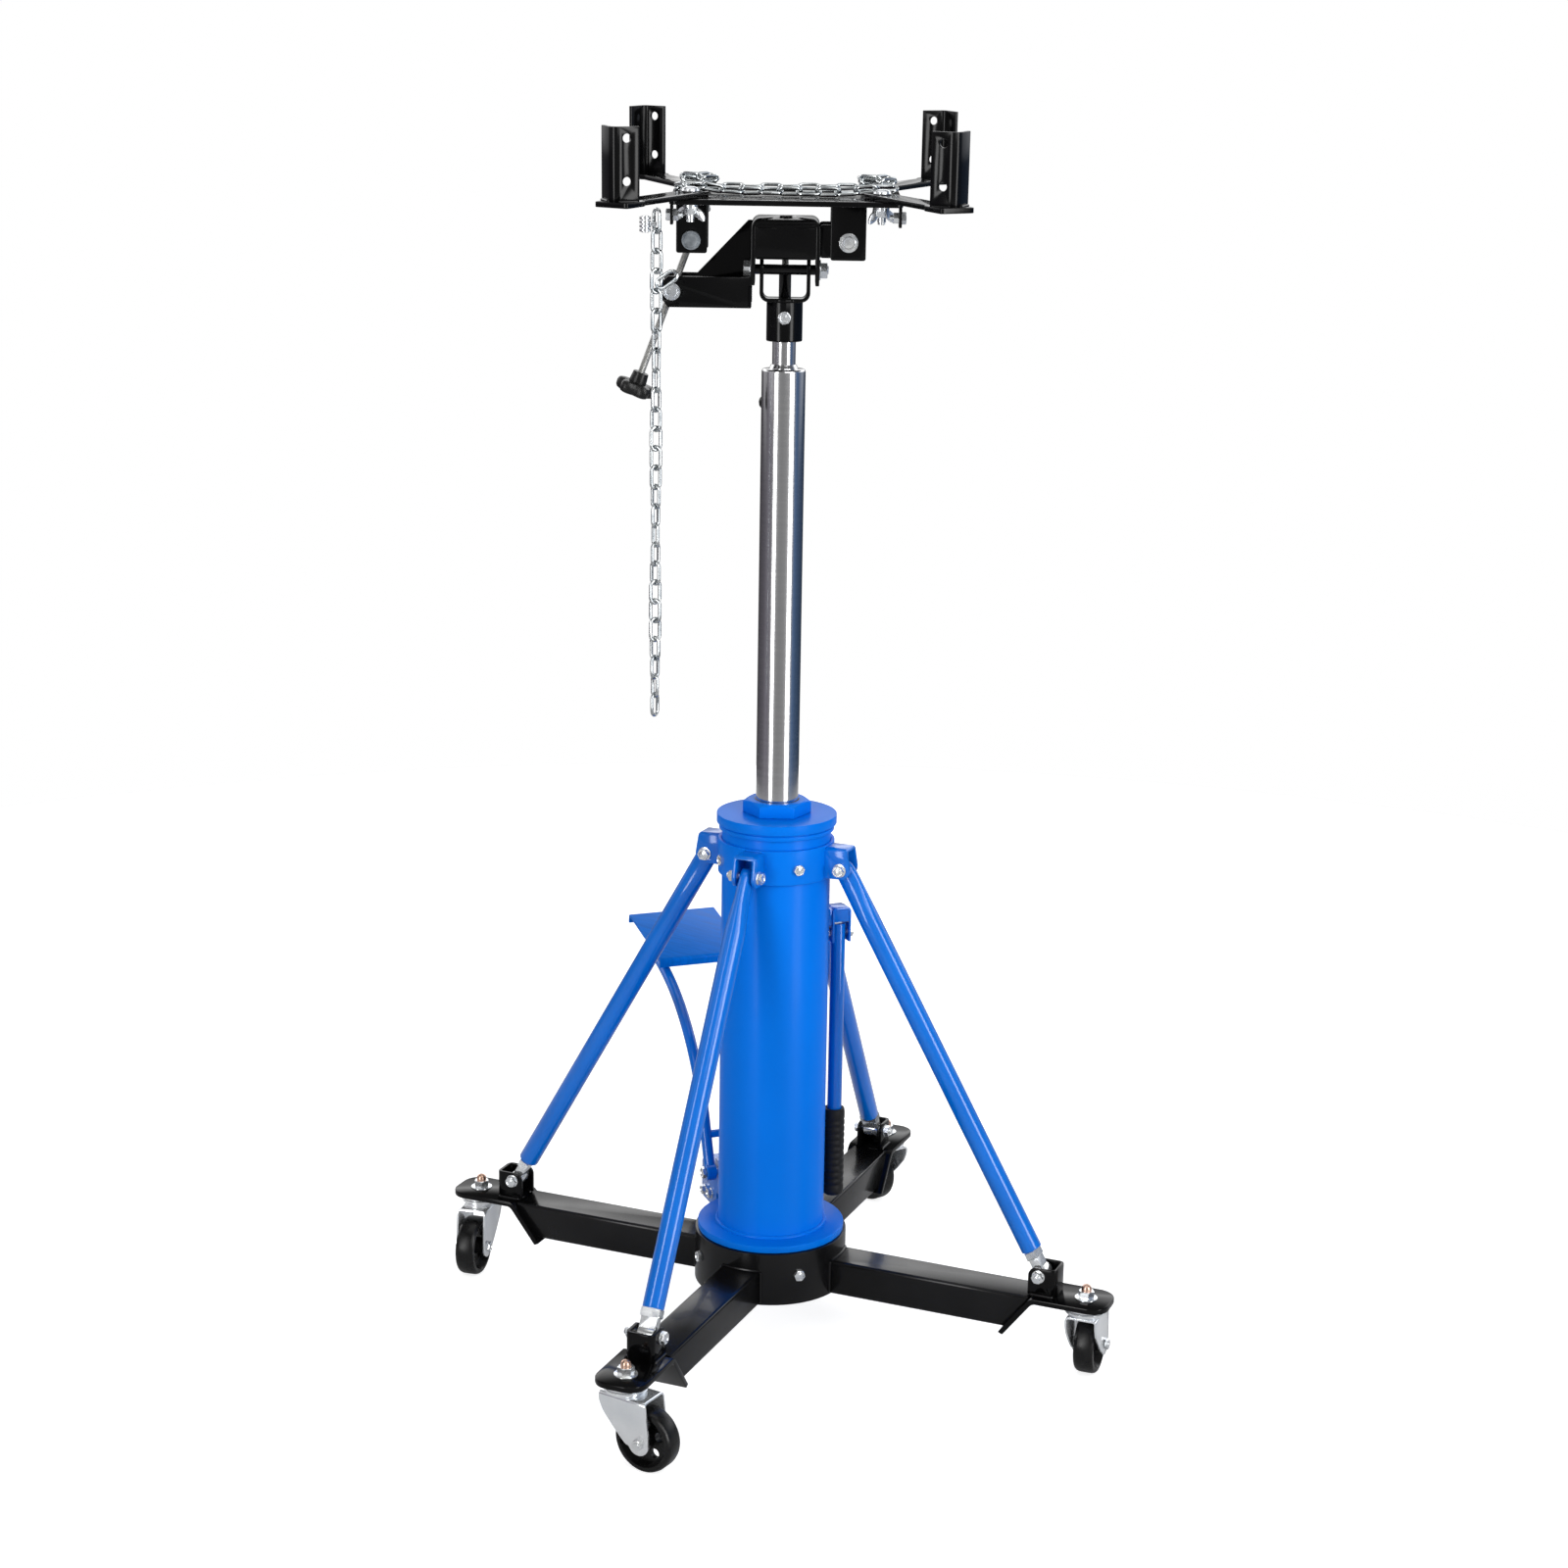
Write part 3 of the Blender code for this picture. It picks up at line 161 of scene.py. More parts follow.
FORK_ZINC = surface("pressed_zinc", (0.80, 0.83, 0.86), (0.95, 0.96, 0.97), (0.12, 0.20),
                    metallic=0.78, spread=25, grain=300, bump=0.06)
STEEL = surface("screw_steel", (0.36, 0.36, 0.35), (0.52, 0.52, 0.50), (0.26, 0.40), metallic=0.85,
                spread=80, grain=500, bump=0.1)
RUBBER = surface("grip_rubber", (0.004, 0.004, 0.005), (0.010, 0.010, 0.011), (0.45, 0.58),
                 spread=40, grain=700, bump=0.25, ior=1.35)
TYRE = surface("wheel_nylon", (0.002, 0.002, 0.002), (0.006, 0.006, 0.006), (0.22, 0.34),
               spread=50, grain=500, bump=0.12, ior=1.36)
KNOB = surface("knob_plastic", (0.003, 0.003, 0.003), (0.008, 0.008, 0.008), (0.28, 0.40),
               spread=60, grain=600, bump=0.15, ior=1.36)
TREAD = surface("brushed_blue_paint", (0.0, 0.125, 0.52), (0.0, 0.160, 0.66), (0.30, 0.42),
                coat_rough=0.15, spread=30, stretch=(1, 8, 1), grain=300, bump=0.10, ior=1.15)
DULL_STEEL = surface("dull_steel", (0.20, 0.225, 0.25), (0.42, 0.45, 0.48), (0.30, 0.44),
                     metallic=0.9, spread=120, grain=500, bump=0.12)
COPPER = surface("copper_washed_stud", (0.62, 0.40, 0.30), (0.75, 0.52, 0.42), (0.22, 0.34),
                 metallic=1.0, spread=50, grain=400, bump=0.08)


# Shapes. Each function returns a bmesh in its own frame's coordinates.


def finish_shape(shape):
    bmesh.ops.recalc_face_normals(shape, faces=shape.faces)
    return shape


def aim(at, direction, roll=0.0):
    turn = Vector(direction).to_track_quat("Z", "Y").to_matrix().to_4x4()
    return Matrix.Translation(at) @ turn @ Matrix.Rotation(roll, 4, "Z")


def loft(rings, closed=False, caps=True):
    """Skin between rings of equal length. Each ring is a list of points."""
    shape = bmesh.new()
    made = [[shape.verts.new(point) for point in ring] for ring in rings]
    pairs = list(zip(made, made[1:]))
    if closed:
        pairs.append((made[-1], made[0]))
    for one, two in pairs:
        for i in range(len(one)):
            j = (i + 1) % len(one)
            shape.faces.new([one[i], one[j], two[j], two[i]])
    if caps and not closed:
        shape.faces.new(made[0])
        shape.faces.new(made[-1])
    return finish_shape(shape)


def turned(profile, sides=48):
    """(radius, height) points turned about Z. Radius 0 closes on the axis."""
    shape = bmesh.new()
    rings = []
    for radius, height in profile:
        count = sides if radius > 0 else 1
        turns = [2 * math.pi * i / sides for i in range(count)]
        rings.append([shape.verts.new((radius * math.cos(t), radius * math.sin(t), height)) for t in turns])
    pairs = list(zip(rings, rings[1:]))
    if profile[0][0] > 0:
        pairs.append((rings[-1], rings[0]))
    for one, two in pairs:
        for i in range(sides):
            j = (i + 1) % sides
            corners = [one[i % len(one)], one[j % len(one)], two[j % len(two)], two[i % len(two)]]
            corners = list(dict.fromkeys(corners))
            if len(corners) > 2:
                shape.faces.new(corners)
    return finish_shape(shape)


def eased(profile, radius, steps=3):
    """The profile with each of its corners rounded off by about the radius."""
    made = []
    count = len(profile)
    for i, (r, z) in enumerate(profile):
        before = Vector(profile[i - 1]) - Vector((r, z))
        after = Vector(profile[(i + 1) % count]) - Vector((r, z))
        if r == 0 or profile[i - 1][0] == 0 and i == 0:
            made.append((r, z))
            continue
        reach = min(radius, before.length * 0.45, after.length * 0.45)
        start = Vector((r, z)) + before.normalized() * reach
        end = Vector((r, z)) + after.normalized() * reach
        for k in range(steps + 1):
            t = k / steps
            point = start * (1 - t) ** 2 + Vector((r, z)) * 2 * t * (1 - t) + end * t**2
            made.append((point.x, point.y))
    return made


def prism(outline, low, high, axis="z"):
    """A flat outline of (u, v) points, drawn out along the axis from low to high."""
    place = {
        "x": lambda u, v, w: (w, u, v), "y": lambda u, v, w: (u, w, v),
        "z": lambda u, v, w: (u, v, w),
    }[axis]
    return loft([[place(u, v, low) for u, v in outline], [place(u, v, high) for u, v in outline]])


def box(low, high):
    return prism([(low[0], low[1]), (high[0], low[1]), (high[0], high[1]), (low[0], high[1])], low[2],
                 high[2])


def arc(centre, radius, start, end, steps=10):
    """Points on a circle about the centre, from one angle to another, in degrees."""
    angles = [math.radians(start + (end - start) * i / steps) for i in range(steps + 1)]
    return [(centre[0] + radius * math.cos(a), centre[1] + radius * math.sin(a)) for a in angles]


def rounded(points, radius, steps=5):
    """A polygon with its corners rounded."""
    made = []
    for i, point in enumerate(points):
        here = Vector(point)
        before = Vector(points[i - 1]) - here
        after = Vector(points[(i + 1) % len(points)]) - here
        reach = min(radius, before.length * 0.45, after.length * 0.45)
        start = here + before.normalized() * reach
        end = here + after.normalized() * reach
        for k in range(steps + 1):
            t = k / steps
            made.append(tuple(start * (1 - t) ** 2 + here * 2 * t * (1 - t) + end * t**2))
    return made


def rod(start, end, radius, sides=28, chamfer=0.0004):
    """A round bar from start to end, its ends chamfered."""
    length = (Vector(end) - Vector(start)).length
    profile = [(0, 0), (radius - chamfer, 0), (radius, chamfer), (radius, length - chamfer),
               (radius - chamfer, length), (0, length)]
    shape = turned(profile, sides)
    shape.transform(aim(start, Vector(end) - Vector(start)))
    return shape


def hexagon(flat, height, bore=0.0, both=False):
    """A hexagon head or nut standing on z = 0, with the round chamfer that real ones have."""
    apothem = flat / 2
    circle = apothem * 0.97
    samples = 36
    low, high, top, bottom = [], [], [], []
    for i in range(samples):
        angle = 2 * math.pi * i / samples
        inside = math.radians((math.degrees(angle) % 60) - 30)
        radius = apothem / math.cos(inside)
        drop = (radius - circle) * math.tan(math.radians(30))
        c, s = math.cos(angle), math.sin(angle)
        bottom.append((circle * c, circle * s, 0))
        low.append((radius * c, radius * s, drop if both else 0))
        high.append((radius * c, radius * s, height - drop))
        top.append((circle * c, circle * s, height))
    rings = ([bottom, low] if both else [low]) + [high, top]
    if not bore:
        for share, dip in ((0.84, 0.0), (0.74, 0.0008), (0.46, 0.0005), (0.14, 0.0)):
            rings.append([(x * share, y * share, height - dip) for x, y, _ in top])
        return loft(rings)
    inner = [(bore * math.cos(2 * math.pi * i / samples), bore * math.sin(2 * math.pi * i / samples))
             for i in range(samples)]
    rings += [[(x, y, height) for x, y in inner], [(x, y, 0) for x, y in inner]]
    return loft(rings, closed=True)


def swept(points, radius, sides=16, flat=None, caps=True):
    """A round tube along points. flat may give a (width, height) scale for each point."""
    points = [Vector(p) for p in points]
    rings = []
    side = None
    for i, point in enumerate(points):
        before = points[max(i - 1, 0)]
        after = points[min(i + 1, len(points) - 1)]
        along = (after - before).normalized()
        if side is None:
            side = along.cross(Vector((0, 1, 0)))
            if side.length < 0.1:
                side = along.cross(Vector((1, 0, 0)))
        side = (side - along * side.dot(along)).normalized()
        over = along.cross(side)
        wide, tall = flat[i] if flat else (1, 1)
        rings.append([point + side * (radius * tall * math.cos(t)) + over * (radius * wide * math.sin(t))
                      for t in (2 * math.pi * k / sides for k in range(sides))])
    return loft(rings, caps=caps)


def merged(*shapes):
    """Several closed shells in one bmesh."""
    made = bmesh.new()
    for shape in shapes:
        mesh = bpy.data.meshes.new("part")
        shape.to_mesh(mesh)
        shape.free()
        made.from_mesh(mesh)
        bpy.data.meshes.remove(mesh)
    return made


def temporary(shape):
    """An object that holds the shape only while a Boolean runs."""
    mesh = bpy.data.meshes.new("part")
    shape.to_mesh(mesh)
    shape.free()
    made = bpy.data.objects.new("part", mesh)
    bpy.context.scene.collection.objects.link(made)
    return made


def combined(base, steps):
    """The base after exact Booleans, given as (operation, shape) pairs."""
    target = temporary(base)
    helpers = []
    for operation, shape in steps:
        helper = temporary(shape)
        helpers.append(helper)
        modifier = target.modifiers.new("step", "BOOLEAN")
        modifier.operation = operation
        modifier.solver = "EXACT"
        modifier.object = helper
    bpy.context.view_layer.update()
    graph = bpy.context.evaluated_depsgraph_get()
    mesh = bpy.data.meshes.new_from_object(target.evaluated_get(graph))
    for obj in [target, *helpers]:
        data = obj.data
        bpy.data.objects.remove(obj)
        bpy.data.meshes.remove(data)
    made = bmesh.new()
    made.from_mesh(mesh)
    bpy.data.meshes.remove(mesh)
    return made


def intersection(one, two):
    return combined(one, [("INTERSECT", two)])


def carved(base, add=(), cut=(), soften=0.0):
    """Unions and cuts, then softens the outward sharp edges."""
    made = combined(base, [("UNION", shape) for shape in add] + [("DIFFERENCE", shape) for shape in cut])
    bmesh.ops.remove_doubles(made, verts=made.verts, dist=2e-6)
    bmesh.ops.dissolve_limit(made, angle_limit=math.radians(0.5), verts=made.verts, edges=made.edges)
    return softened(made, soften)


def softened(shape, width):
    """Rounds off the outward edges that are sharper than 32 degrees."""
    if width > 0:
        sharp = [edge for edge in shape.edges
                 if edge.is_manifold and edge.is_convex and edge.calc_face_angle(0) > math.radians(32)]
        bmesh.ops.bevel(shape, geom=sharp, offset=width, offset_type="OFFSET", segments=2, profile=0.5,
                        affect="EDGES", clamp_overlap=True)
    return shape


def piece(name, shape, material, body, place=WORLD, replaces=(), angle=30):
    """One visible piece, given in the coordinates of its frame, that rides on a body."""
    shape.transform(place)
    mesh = bpy.data.meshes.new(name)
    shape.to_mesh(mesh)
    shape.free()
    mesh.shade_smooth()
    mesh.set_sharp_from_angle(angle=math.radians(angle))
    mesh.materials.append(material)
    made = bpy.data.objects.new(name, mesh)
    bpy.context.scene.collection.objects.link(made)
    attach(made, body)
    if replaces:
        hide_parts(*replaces)
    return made


def bolt_shapes(at, direction, flat=0.013, height=0.0055, washer=0.0, roll=0.0):
    """A hexagon head, with a washer under it where there is one, standing on the point."""
    shapes = []
    lift = 0.0
    if washer:
        lift = 0.0014
        shapes.append(turned(eased([(0, 0), (washer, 0), (washer, lift), (0, lift)], 0.0003, 2), 32))
    head = hexagon(flat, height)
    head.transform(Matrix.Translation((0, 0, lift)))
    shapes.append(head)
    place = aim(at, direction, roll)
    for shape in shapes:
        shape.transform(place)
    return shapes


def rimmed_disc(at, direction, radius, thick):
    """A pin's end: a flat disc with a narrow groove inside its rim."""
    profile = [(0, 0), (radius, 0), (radius, thick - 0.0005), (radius - 0.0005, thick),
               (radius - 0.0013, thick), (radius - 0.0018, thick - 0.0008), (radius - 0.0026, thick - 0.0008),
               (radius - 0.0031, thick - 0.0001), (radius * 0.3, thick + 0.0003), (0, thick + 0.0001)]
    shape = turned(profile, 48)
    shape.transform(aim(at, direction))
    return shape


def nut_shapes(at, direction, flat=0.013, height=0.0055, washer=0.0, stub=0.003, roll=0.0):
    """A nut with the bolt's threaded end standing out of it."""
    radius = flat * 0.30
    lift = 0.0014 if washer else 0.0
    shapes = [hexagon(flat, height, bore=radius * 0.98, both=True)]
    shapes[0].transform(Matrix.Translation((0, 0, lift)))
    if washer:
        shapes.append(turned(eased([(0, 0), (washer, 0), (washer, lift), (0, lift)], 0.0003, 2), 32))
    end = thread(radius, lift * 0.5, lift + height + stub, 0.0012)
    shapes.append(end)
    place = aim(at, direction, roll)
    for shape in shapes:
        shape.transform(place)
    return shapes


def thread(radius, low, high, pitch, sides=20):
    """A threaded rod along Z: a helical ridge made by shifting each side of the profile."""
    depth = pitch * 0.42
    turns = max(2, int((high - low) / pitch))
    step = (high - low) / (turns * 2)
    rings = [[(0.72 * radius * math.cos(2 * math.pi * k / sides),
               0.72 * radius * math.sin(2 * math.pi * k / sides),
               low) for k in range(sides)]]
    for i in range(turns * 2 + 1):
        ring = []
        for k in range(sides):
            phase = (i * 0.5 + k / sides) % 1.0
            ridge = 1 - abs(2 * phase - 1)
            r = radius - depth * ridge
            t = 2 * math.pi * k / sides
            z = min(max(low + i * step, low), high)
            ring.append((r * math.cos(t), r * math.sin(t), z))
        rings.append(ring)
    rings.append([(x * 0.75, y * 0.75, z + 0.0003) for x, y, z in rings[-1]])
    return loft(rings)


def weld_bead(start, end, radius=0.0022, ripple=0.0026):
    """A rippled weld along a line."""
    start, end = Vector(start), Vector(end)
    count = max(4, int((end - start).length / (ripple / 2)))
    points = [start.lerp(end, i / count) for i in range(count + 1)]
    scales = [(1.0, 1.0) if i % 2 else (0.86, 0.86) for i in range(count + 1)]
    scales[0] = scales[-1] = (0.5, 0.5)
    return swept(points, radius, 10, scales)


def weld_ring(radius, height, size=0.0025, count=96):
    """A rippled weld round the column's axis."""
    rings = []
    for i in range(count):
        angle = 2 * math.pi * i / count
        fat = size * (1.0 if i % 2 else 0.88)
        out = Vector((math.cos(angle), math.sin(angle), 0))
        rings.append([out * (radius + fat * math.cos(t)) + Vector((0, 0, height + fat * math.sin(t)))
                      for t in (2 * math.pi * k / 10 for k in range(10))])
    return loft(rings, closed=True)


# Base


def build_base():
    """The hub ring, the four legs with their braces, castors and wheels."""
    hub = eased([(0.078, 0.0607), (0.0939, 0.0607), (0.0939, 0.127), (0.078, 0.127)], 0.0010)
    piece("hub_ring", turned(hub, 96), BLACK_SATIN, "column", replaces=["base_hub"])
    for k in range(4):
        spin = turn_z(math.radians(45 + 90 * k))
        screws = bolt_shapes((0.0935, 0, 0.0985), (1, 0, 0), 0.0125, 0.0045, roll=0.3 * k)
        piece(f"hub_screw_{k}", merged(*screws), ZINC, "column", spin)
    for side, place in LEG.items():
        build_leg(side, place)
        build_brace(side, place)
        build_castor(side, CASTOR[side])


def build_leg(side, place):
    """A leg: box beam, bent castor plate, clevis, welds and the castor's stud and nut."""
    body = "column"
    outline = rounded_beam(0.025, 0.0217, 0.004)
    beam = prism([(y, z + 0.08325) for y, z in outline], 0.060, 0.353, "x")
    inside = rounded_beam(0.022, 0.0187, 0.002)
    hollow = prism([(y, z + 0.08325) for y, z in inside], 0.05, 0.30, "x")
    ring = turned([(0, 0.05), (0.0936, 0.05), (0.0936, 0.12), (0, 0.12)], 96)
    beyond = prism([(0.3135, 0.05), (0.3495, 0.112), (0.42, 0.112), (0.42, 0.05)], -0.04, 0.04, "y")
    piece(f"leg_beam_{side}", carved(beam, cut=[ring, hollow, beyond], soften=0.0005), BLACK_SATIN, body,
          place, [f"leg_{side}"])
    # The castor plate: one strip folded down over the beam's slanted end, its outer end rounded.
    strip = [(0.4425, 0.1065), (0.4425, 0.0998), (0.3550, 0.0998), (0.3515, 0.0985), (0.3490, 0.0960),
             (0.3165, 0.0537), (0.3108, 0.0562), (0.3440, 0.1000), (0.3475, 0.1040), (0.3525, 0.1065)]
    folded = prism(strip, -0.0315, 0.0315, "y")
    corner = 0.022
    edge, inset = 0.441 - corner, 0.0315 - corner
    keep = [(0.30, -0.0315)] + arc((edge, -inset), corner, -90, 0, 12) + arc((edge, inset), corner, 0, 90, 12)
    keep += [(0.30, 0.0315)]
    outside = [(0.28, -0.06), (0.28, -0.0315)] + keep
    outside += [(0.28, 0.0315), (0.28, 0.06), (0.47, 0.06), (0.47, -0.06)]
    trim = prism(outside, 0.04, 0.13)
    piece(f"castor_plate_{side}", carved(folded, cut=[trim], soften=0.0009), BLACK, body, place)
    # Clevis: a U bent from strip, with rounded ears.
    inner, outer = 0.0135, 0.0175
    path = [(0.342, outer), (0.3705, outer)] + arc((0.3705, outer - 0.007), 0.007, 90, 0, 6)
    path += [(0.3775, -(outer - 0.007))] + arc((0.3705, -outer + 0.007), 0.007, 0, -90, 6)
    path += [(0.342, -outer), (0.342, -inner), (0.3705, -inner)]
    path += arc((0.3705, -inner + 0.003), 0.003, -90, 0, 4) + arc((0.3705, inner - 0.003), 0.003, 0, 90, 4)
    path += [(0.342, inner)]
    shell = prism(path, 0.1060, 0.1405)
    side_view = [(0.30, 0.10), (0.342, 0.10)] + arc((0.352, 0.1305), 0.010, 180, 90, 8)
    side_view += [(0.370, 0.1405), (0.370, 0.16), (0.30, 0.16)]
    notch = prism(side_view, -0.04, 0.04, "y")
    hole = rod((0.355, -0.03, 0.1305), (0.355, 0.03, 0.1305), 0.0045)
    piece(f"brace_clevis_{side}", carved(shell, cut=[notch, hole], soften=0.0006), BLACK, body, place)
    welds = [weld_bead((0.345, y, 0.1068), (0.374, y, 0.1068)) for y in (-outer - 0.0008, outer + 0.0008)]
    for y in (-0.0258, 0.0258):
        reach = math.sqrt(0.0939**2 - y**2)
        welds.append(weld_bead((reach + 0.0004, y, 0.0640), (reach + 0.0004, y, 0.1040), 0.0022))
    reach = 0.0942
    rows = [(math.sqrt(reach**2 - y**2), y, 0.1052) for y in [-0.024 + 0.002 * i for i in range(25)]]
    welds.append(swept(rows, 0.0021, 8, [(1, 1) if i % 2 else (0.85, 0.85) for i in range(25)]))
    piece(f"leg_welds_{side}", merged(*welds), BLACK_SATIN, body, place)
    at = BRACE_LOW
    shapes = bolt_shapes(at + Vector((0, outer, 0)), (0, 1, 0), 0.0128, 0.0052, 0.0080)
    shapes += nut_shapes(at - Vector((0, outer, 0)), (0, -1, 0), 0.0128, 0.0058, 0.0080)
    shapes.append(rod(at - Vector((0, outer, 0)), at + Vector((0, outer, 0)), 0.0040))
    piece(f"brace_bolt_{side}", merged(*shapes), ZINC, body, place)
    stem = nut_shapes((CASTOR_REACH, 0, 0.1064), (0, 0, 1), 0.0170, 0.0085, 0.0135, 0.0002)
    piece(f"castor_nut_{side}", merged(*stem), ZINC, body, place)
    stud = turned([(0, 0.114), (0.0062, 0.114), (0.0062, 0.1195), (0.0050, 0.1222), (0.0026, 0.1238),
                   (0, 0.1240)],
                  24)
    stud.transform(Matrix.Translation((CASTOR_REACH, 0, 0)))
    piece(f"castor_stud_{side}", stud, COPPER, body, place)


def rounded_beam(half_width, half_height, radius):
    return rounded([(-half_width, -half_height), (half_width, -half_height), (half_width, half_height),
                    (-half_width, half_height)], radius, 4)


def build_brace(side, place):
    """Tube pressed flatter at its top end, with a flat bar in its bottom end that the clevis bolt holds."""
    along = (BRACE_HIGH - BRACE_LOW).normalized()
    length = (BRACE_HIGH - BRACE_LOW).length
    start = 0.0300
    radius = 0.0127
    stations = [start, start + 0.0006, start + 0.0012]
    scales = [(0.95, 0.95), (0.985, 0.985), (1, 1)]
    crush = length - 0.075
    stations.append(crush)
    scales.append((1, 1))
    for i in range(1, 13):
        t = i / 12
        ease = t * t * (3 - 2 * t)
        stations.append(crush + t * 0.056)
        scales.append((1 - 0.34 * ease, 1 + 0.02 * ease))
    stations += [length - 0.012, length - 0.004, length + 0.003, length + 0.0075, length + 0.010]
    scales += [(0.66, 1.02), (0.66, 0.98), (0.65, 0.85), (0.63, 0.60), (0.58, 0.22)]
    points = [BRACE_LOW + along * s for s in stations]
    tube = swept(points, radius, 32, scales)
    across = Vector((0, 0.03, 0))
    bore = rod(BRACE_HIGH - across, BRACE_HIGH + across, 0.0046)
    piece(f"brace_tube_{side}", carved(tube, cut=[bore], soften=0), BLUE_GLOSS, "column", place,
          [f"brace_{side}"], 40)
    normal = Vector((-along.z, 0, along.x))
    lie = Matrix.Translation(BRACE_LOW) @ Matrix((along, (0, 1, 0), normal)).transposed().to_4x4()
    eye = rod(BRACE_LOW - Vector((0, 0.0103, 0)), BRACE_LOW + Vector((0, 0.0103, 0)), 0.0090, 32, 0.0008)
    bar = prism([(0, -0.0102), (0.0250, -0.0102), (0.0250, 0.0102), (0, 0.0102)], -0.0055, 0.0055)
    edge = []
    teeth = 6
    for k in range(teeth):
        edge += [(0.0200 + 0.0016 * k, -0.0108), (0.0208 + 0.0016 * k, -0.0120)]
    edge.append((0.0200 + 0.0016 * teeth, -0.0108))
    grip = prism(edge + [(x, -y) for x, y in reversed(edge)], -0.0064, 0.0064)
    for shape in (bar, grip):
        shape.transform(lie)
    hole = rod(BRACE_LOW - across, BRACE_LOW + across, 0.0042)
    end = carved(eye, add=[bar], cut=[hole], soften=0.0005)
    piece(f"brace_end_bar_{side}", end, ZINC, "column", place, [f"brace_end_{side}"])
    piece(f"brace_end_grip_{side}", softened(grip, 0.0003), ZINC, "column", place)


def build_castor(side, place):
    """A castor's swivelling half: race, pressed fork and the wheel's axle bolt."""
    fork = f"fork_{side}"
    race = eased([(0, 0.0955), (0.0255, 0.0955), (0.0255, 0.0982), (0.0220, 0.0992), (0, 0.0992)], 0.0006, 2)
    lower = eased([(0, 0.0880), (0.0225, 0.0880), (0.0252, 0.0905), (0.0252, 0.0935), (0.0232, 0.0948),
                   (0, 0.0948)],
                  0.0006, 2)
    gap = turned([(0, 0.0940), (0.0240, 0.0940), (0.0240, 0.0962), (0, 0.0962)], 40)
    piece(f"castor_race_{side}", merged(turned(race, 48), turned(lower, 48)), FORK_ZINC, fork, place)
    piece(f"castor_seal_{side}", gap, KNOB, fork, place)
    # The fork is pressed from one sheet: flat top, and cheeks that narrow to the axle.
    half, wall = 0.0193, 0.0023
    section = [(-half, 0.060), (-half, 0.0835)] + arc((-half + 0.005, 0.0835), 0.005, 180, 90, 6)
    section += arc((half - 0.005, 0.0835), 0.005, 90, 0, 6)
    section += [(half, 0.060), (half, 0.0230), (half - wall, 0.0230)]
    section += arc((half - 0.005, 0.0835), 0.005 - wall, 0, 90, 6)
    section += arc((-half + 0.005, 0.0835), 0.005 - wall, 90, 180, 6)
    section += [(-half + wall, 0.0230), (-half, 0.0230)]
    channel = prism(section, -0.026, 0.046, "x")
    cheek = rounded([(-0.0235, 0.0900), (-0.0235, 0.0780), (-0.0180, 0.0660), (-0.0040, 0.0500),
                     (0.0100, 0.0360), (0.0160, 0.0315)], 0.004, 4)[5:]
    cheek += arc((0.030, 0.0375), 0.0135, 205, 345, 14)
    cheek += [(0.0428, 0.0500)] + rounded_corner((0.0428, 0.0500), (0.0390, 0.0830), (0.0370, 0.0900), 0.003)
    cheek += [(0.0360, 0.0900), (-0.0235, 0.0900)]
    blade = prism(cheek[::-1], -0.03, 0.03, "y")
    body_shape = intersection(channel, blade)
    hole = rod((0.030, -0.03, 0.0375), (0.030, 0.03, 0.0375), 0.0041)
    piece(f"castor_yoke_{side}", carved(body_shape, cut=[hole], soften=0.0004), FORK_ZINC, fork, place,
          [f"castor_fork_{side}"])
    at = AXLE
    shapes = bolt_shapes(at + Vector((0, half, 0)), (0, 1, 0), 0.0118, 0.0042, roll=0.2)
    shapes += nut_shapes(at - Vector((0, half, 0)), (0, -1, 0), 0.0118, 0.0042, 0.0, 0.0006)
    shapes.append(rod(at - Vector((0, half, 0)), at + Vector((0, half, 0)), 0.0040))
    piece(f"castor_pin_{side}", merged(*shapes), ZINC, fork, place, [f"castor_axle_{side}"])
    build_wheel(side, place)


def build_wheel(side, place):
    """Moulded wheel: rounded tread, thin web pierced by five holes, and a hub."""
    half = [(0.0043, 0.0150), (0.0085, 0.0150), (0.0095, 0.0140), (0.0100, 0.0080), (0.0110, 0.0032),
            (0.0265, 0.0030), (0.0285, 0.0062), (0.0295, 0.0100), (0.0305, 0.0122), (0.0325, 0.0125),
            (0.0350, 0.0120), (0.0366, 0.0102), (0.0375, 0.0070), (0.0375, 0.0)]
    profile = half + [(r, -z) for r, z in reversed(half[:-1])]
    wheel = turned(profile, 64)
    holes = []
    for k in range(5):
        angle = math.radians(72 * k + 20)
        x, y = 0.0185 * math.cos(angle), 0.0185 * math.sin(angle)
        holes.append(rod((x, y, -0.02), (x, y, 0.02), 0.0058, 24))
    wheel = carved(wheel, cut=holes, soften=0)
    stand = Matrix.Translation(AXLE) @ Matrix.Rotation(math.pi / 2, 4, "X")
    wheel.transform(stand)
    piece(f"wheel_{side}", wheel, TYRE, f"wheel_{side}", place, [f"castor_wheel_{side}"], 34)


# Column


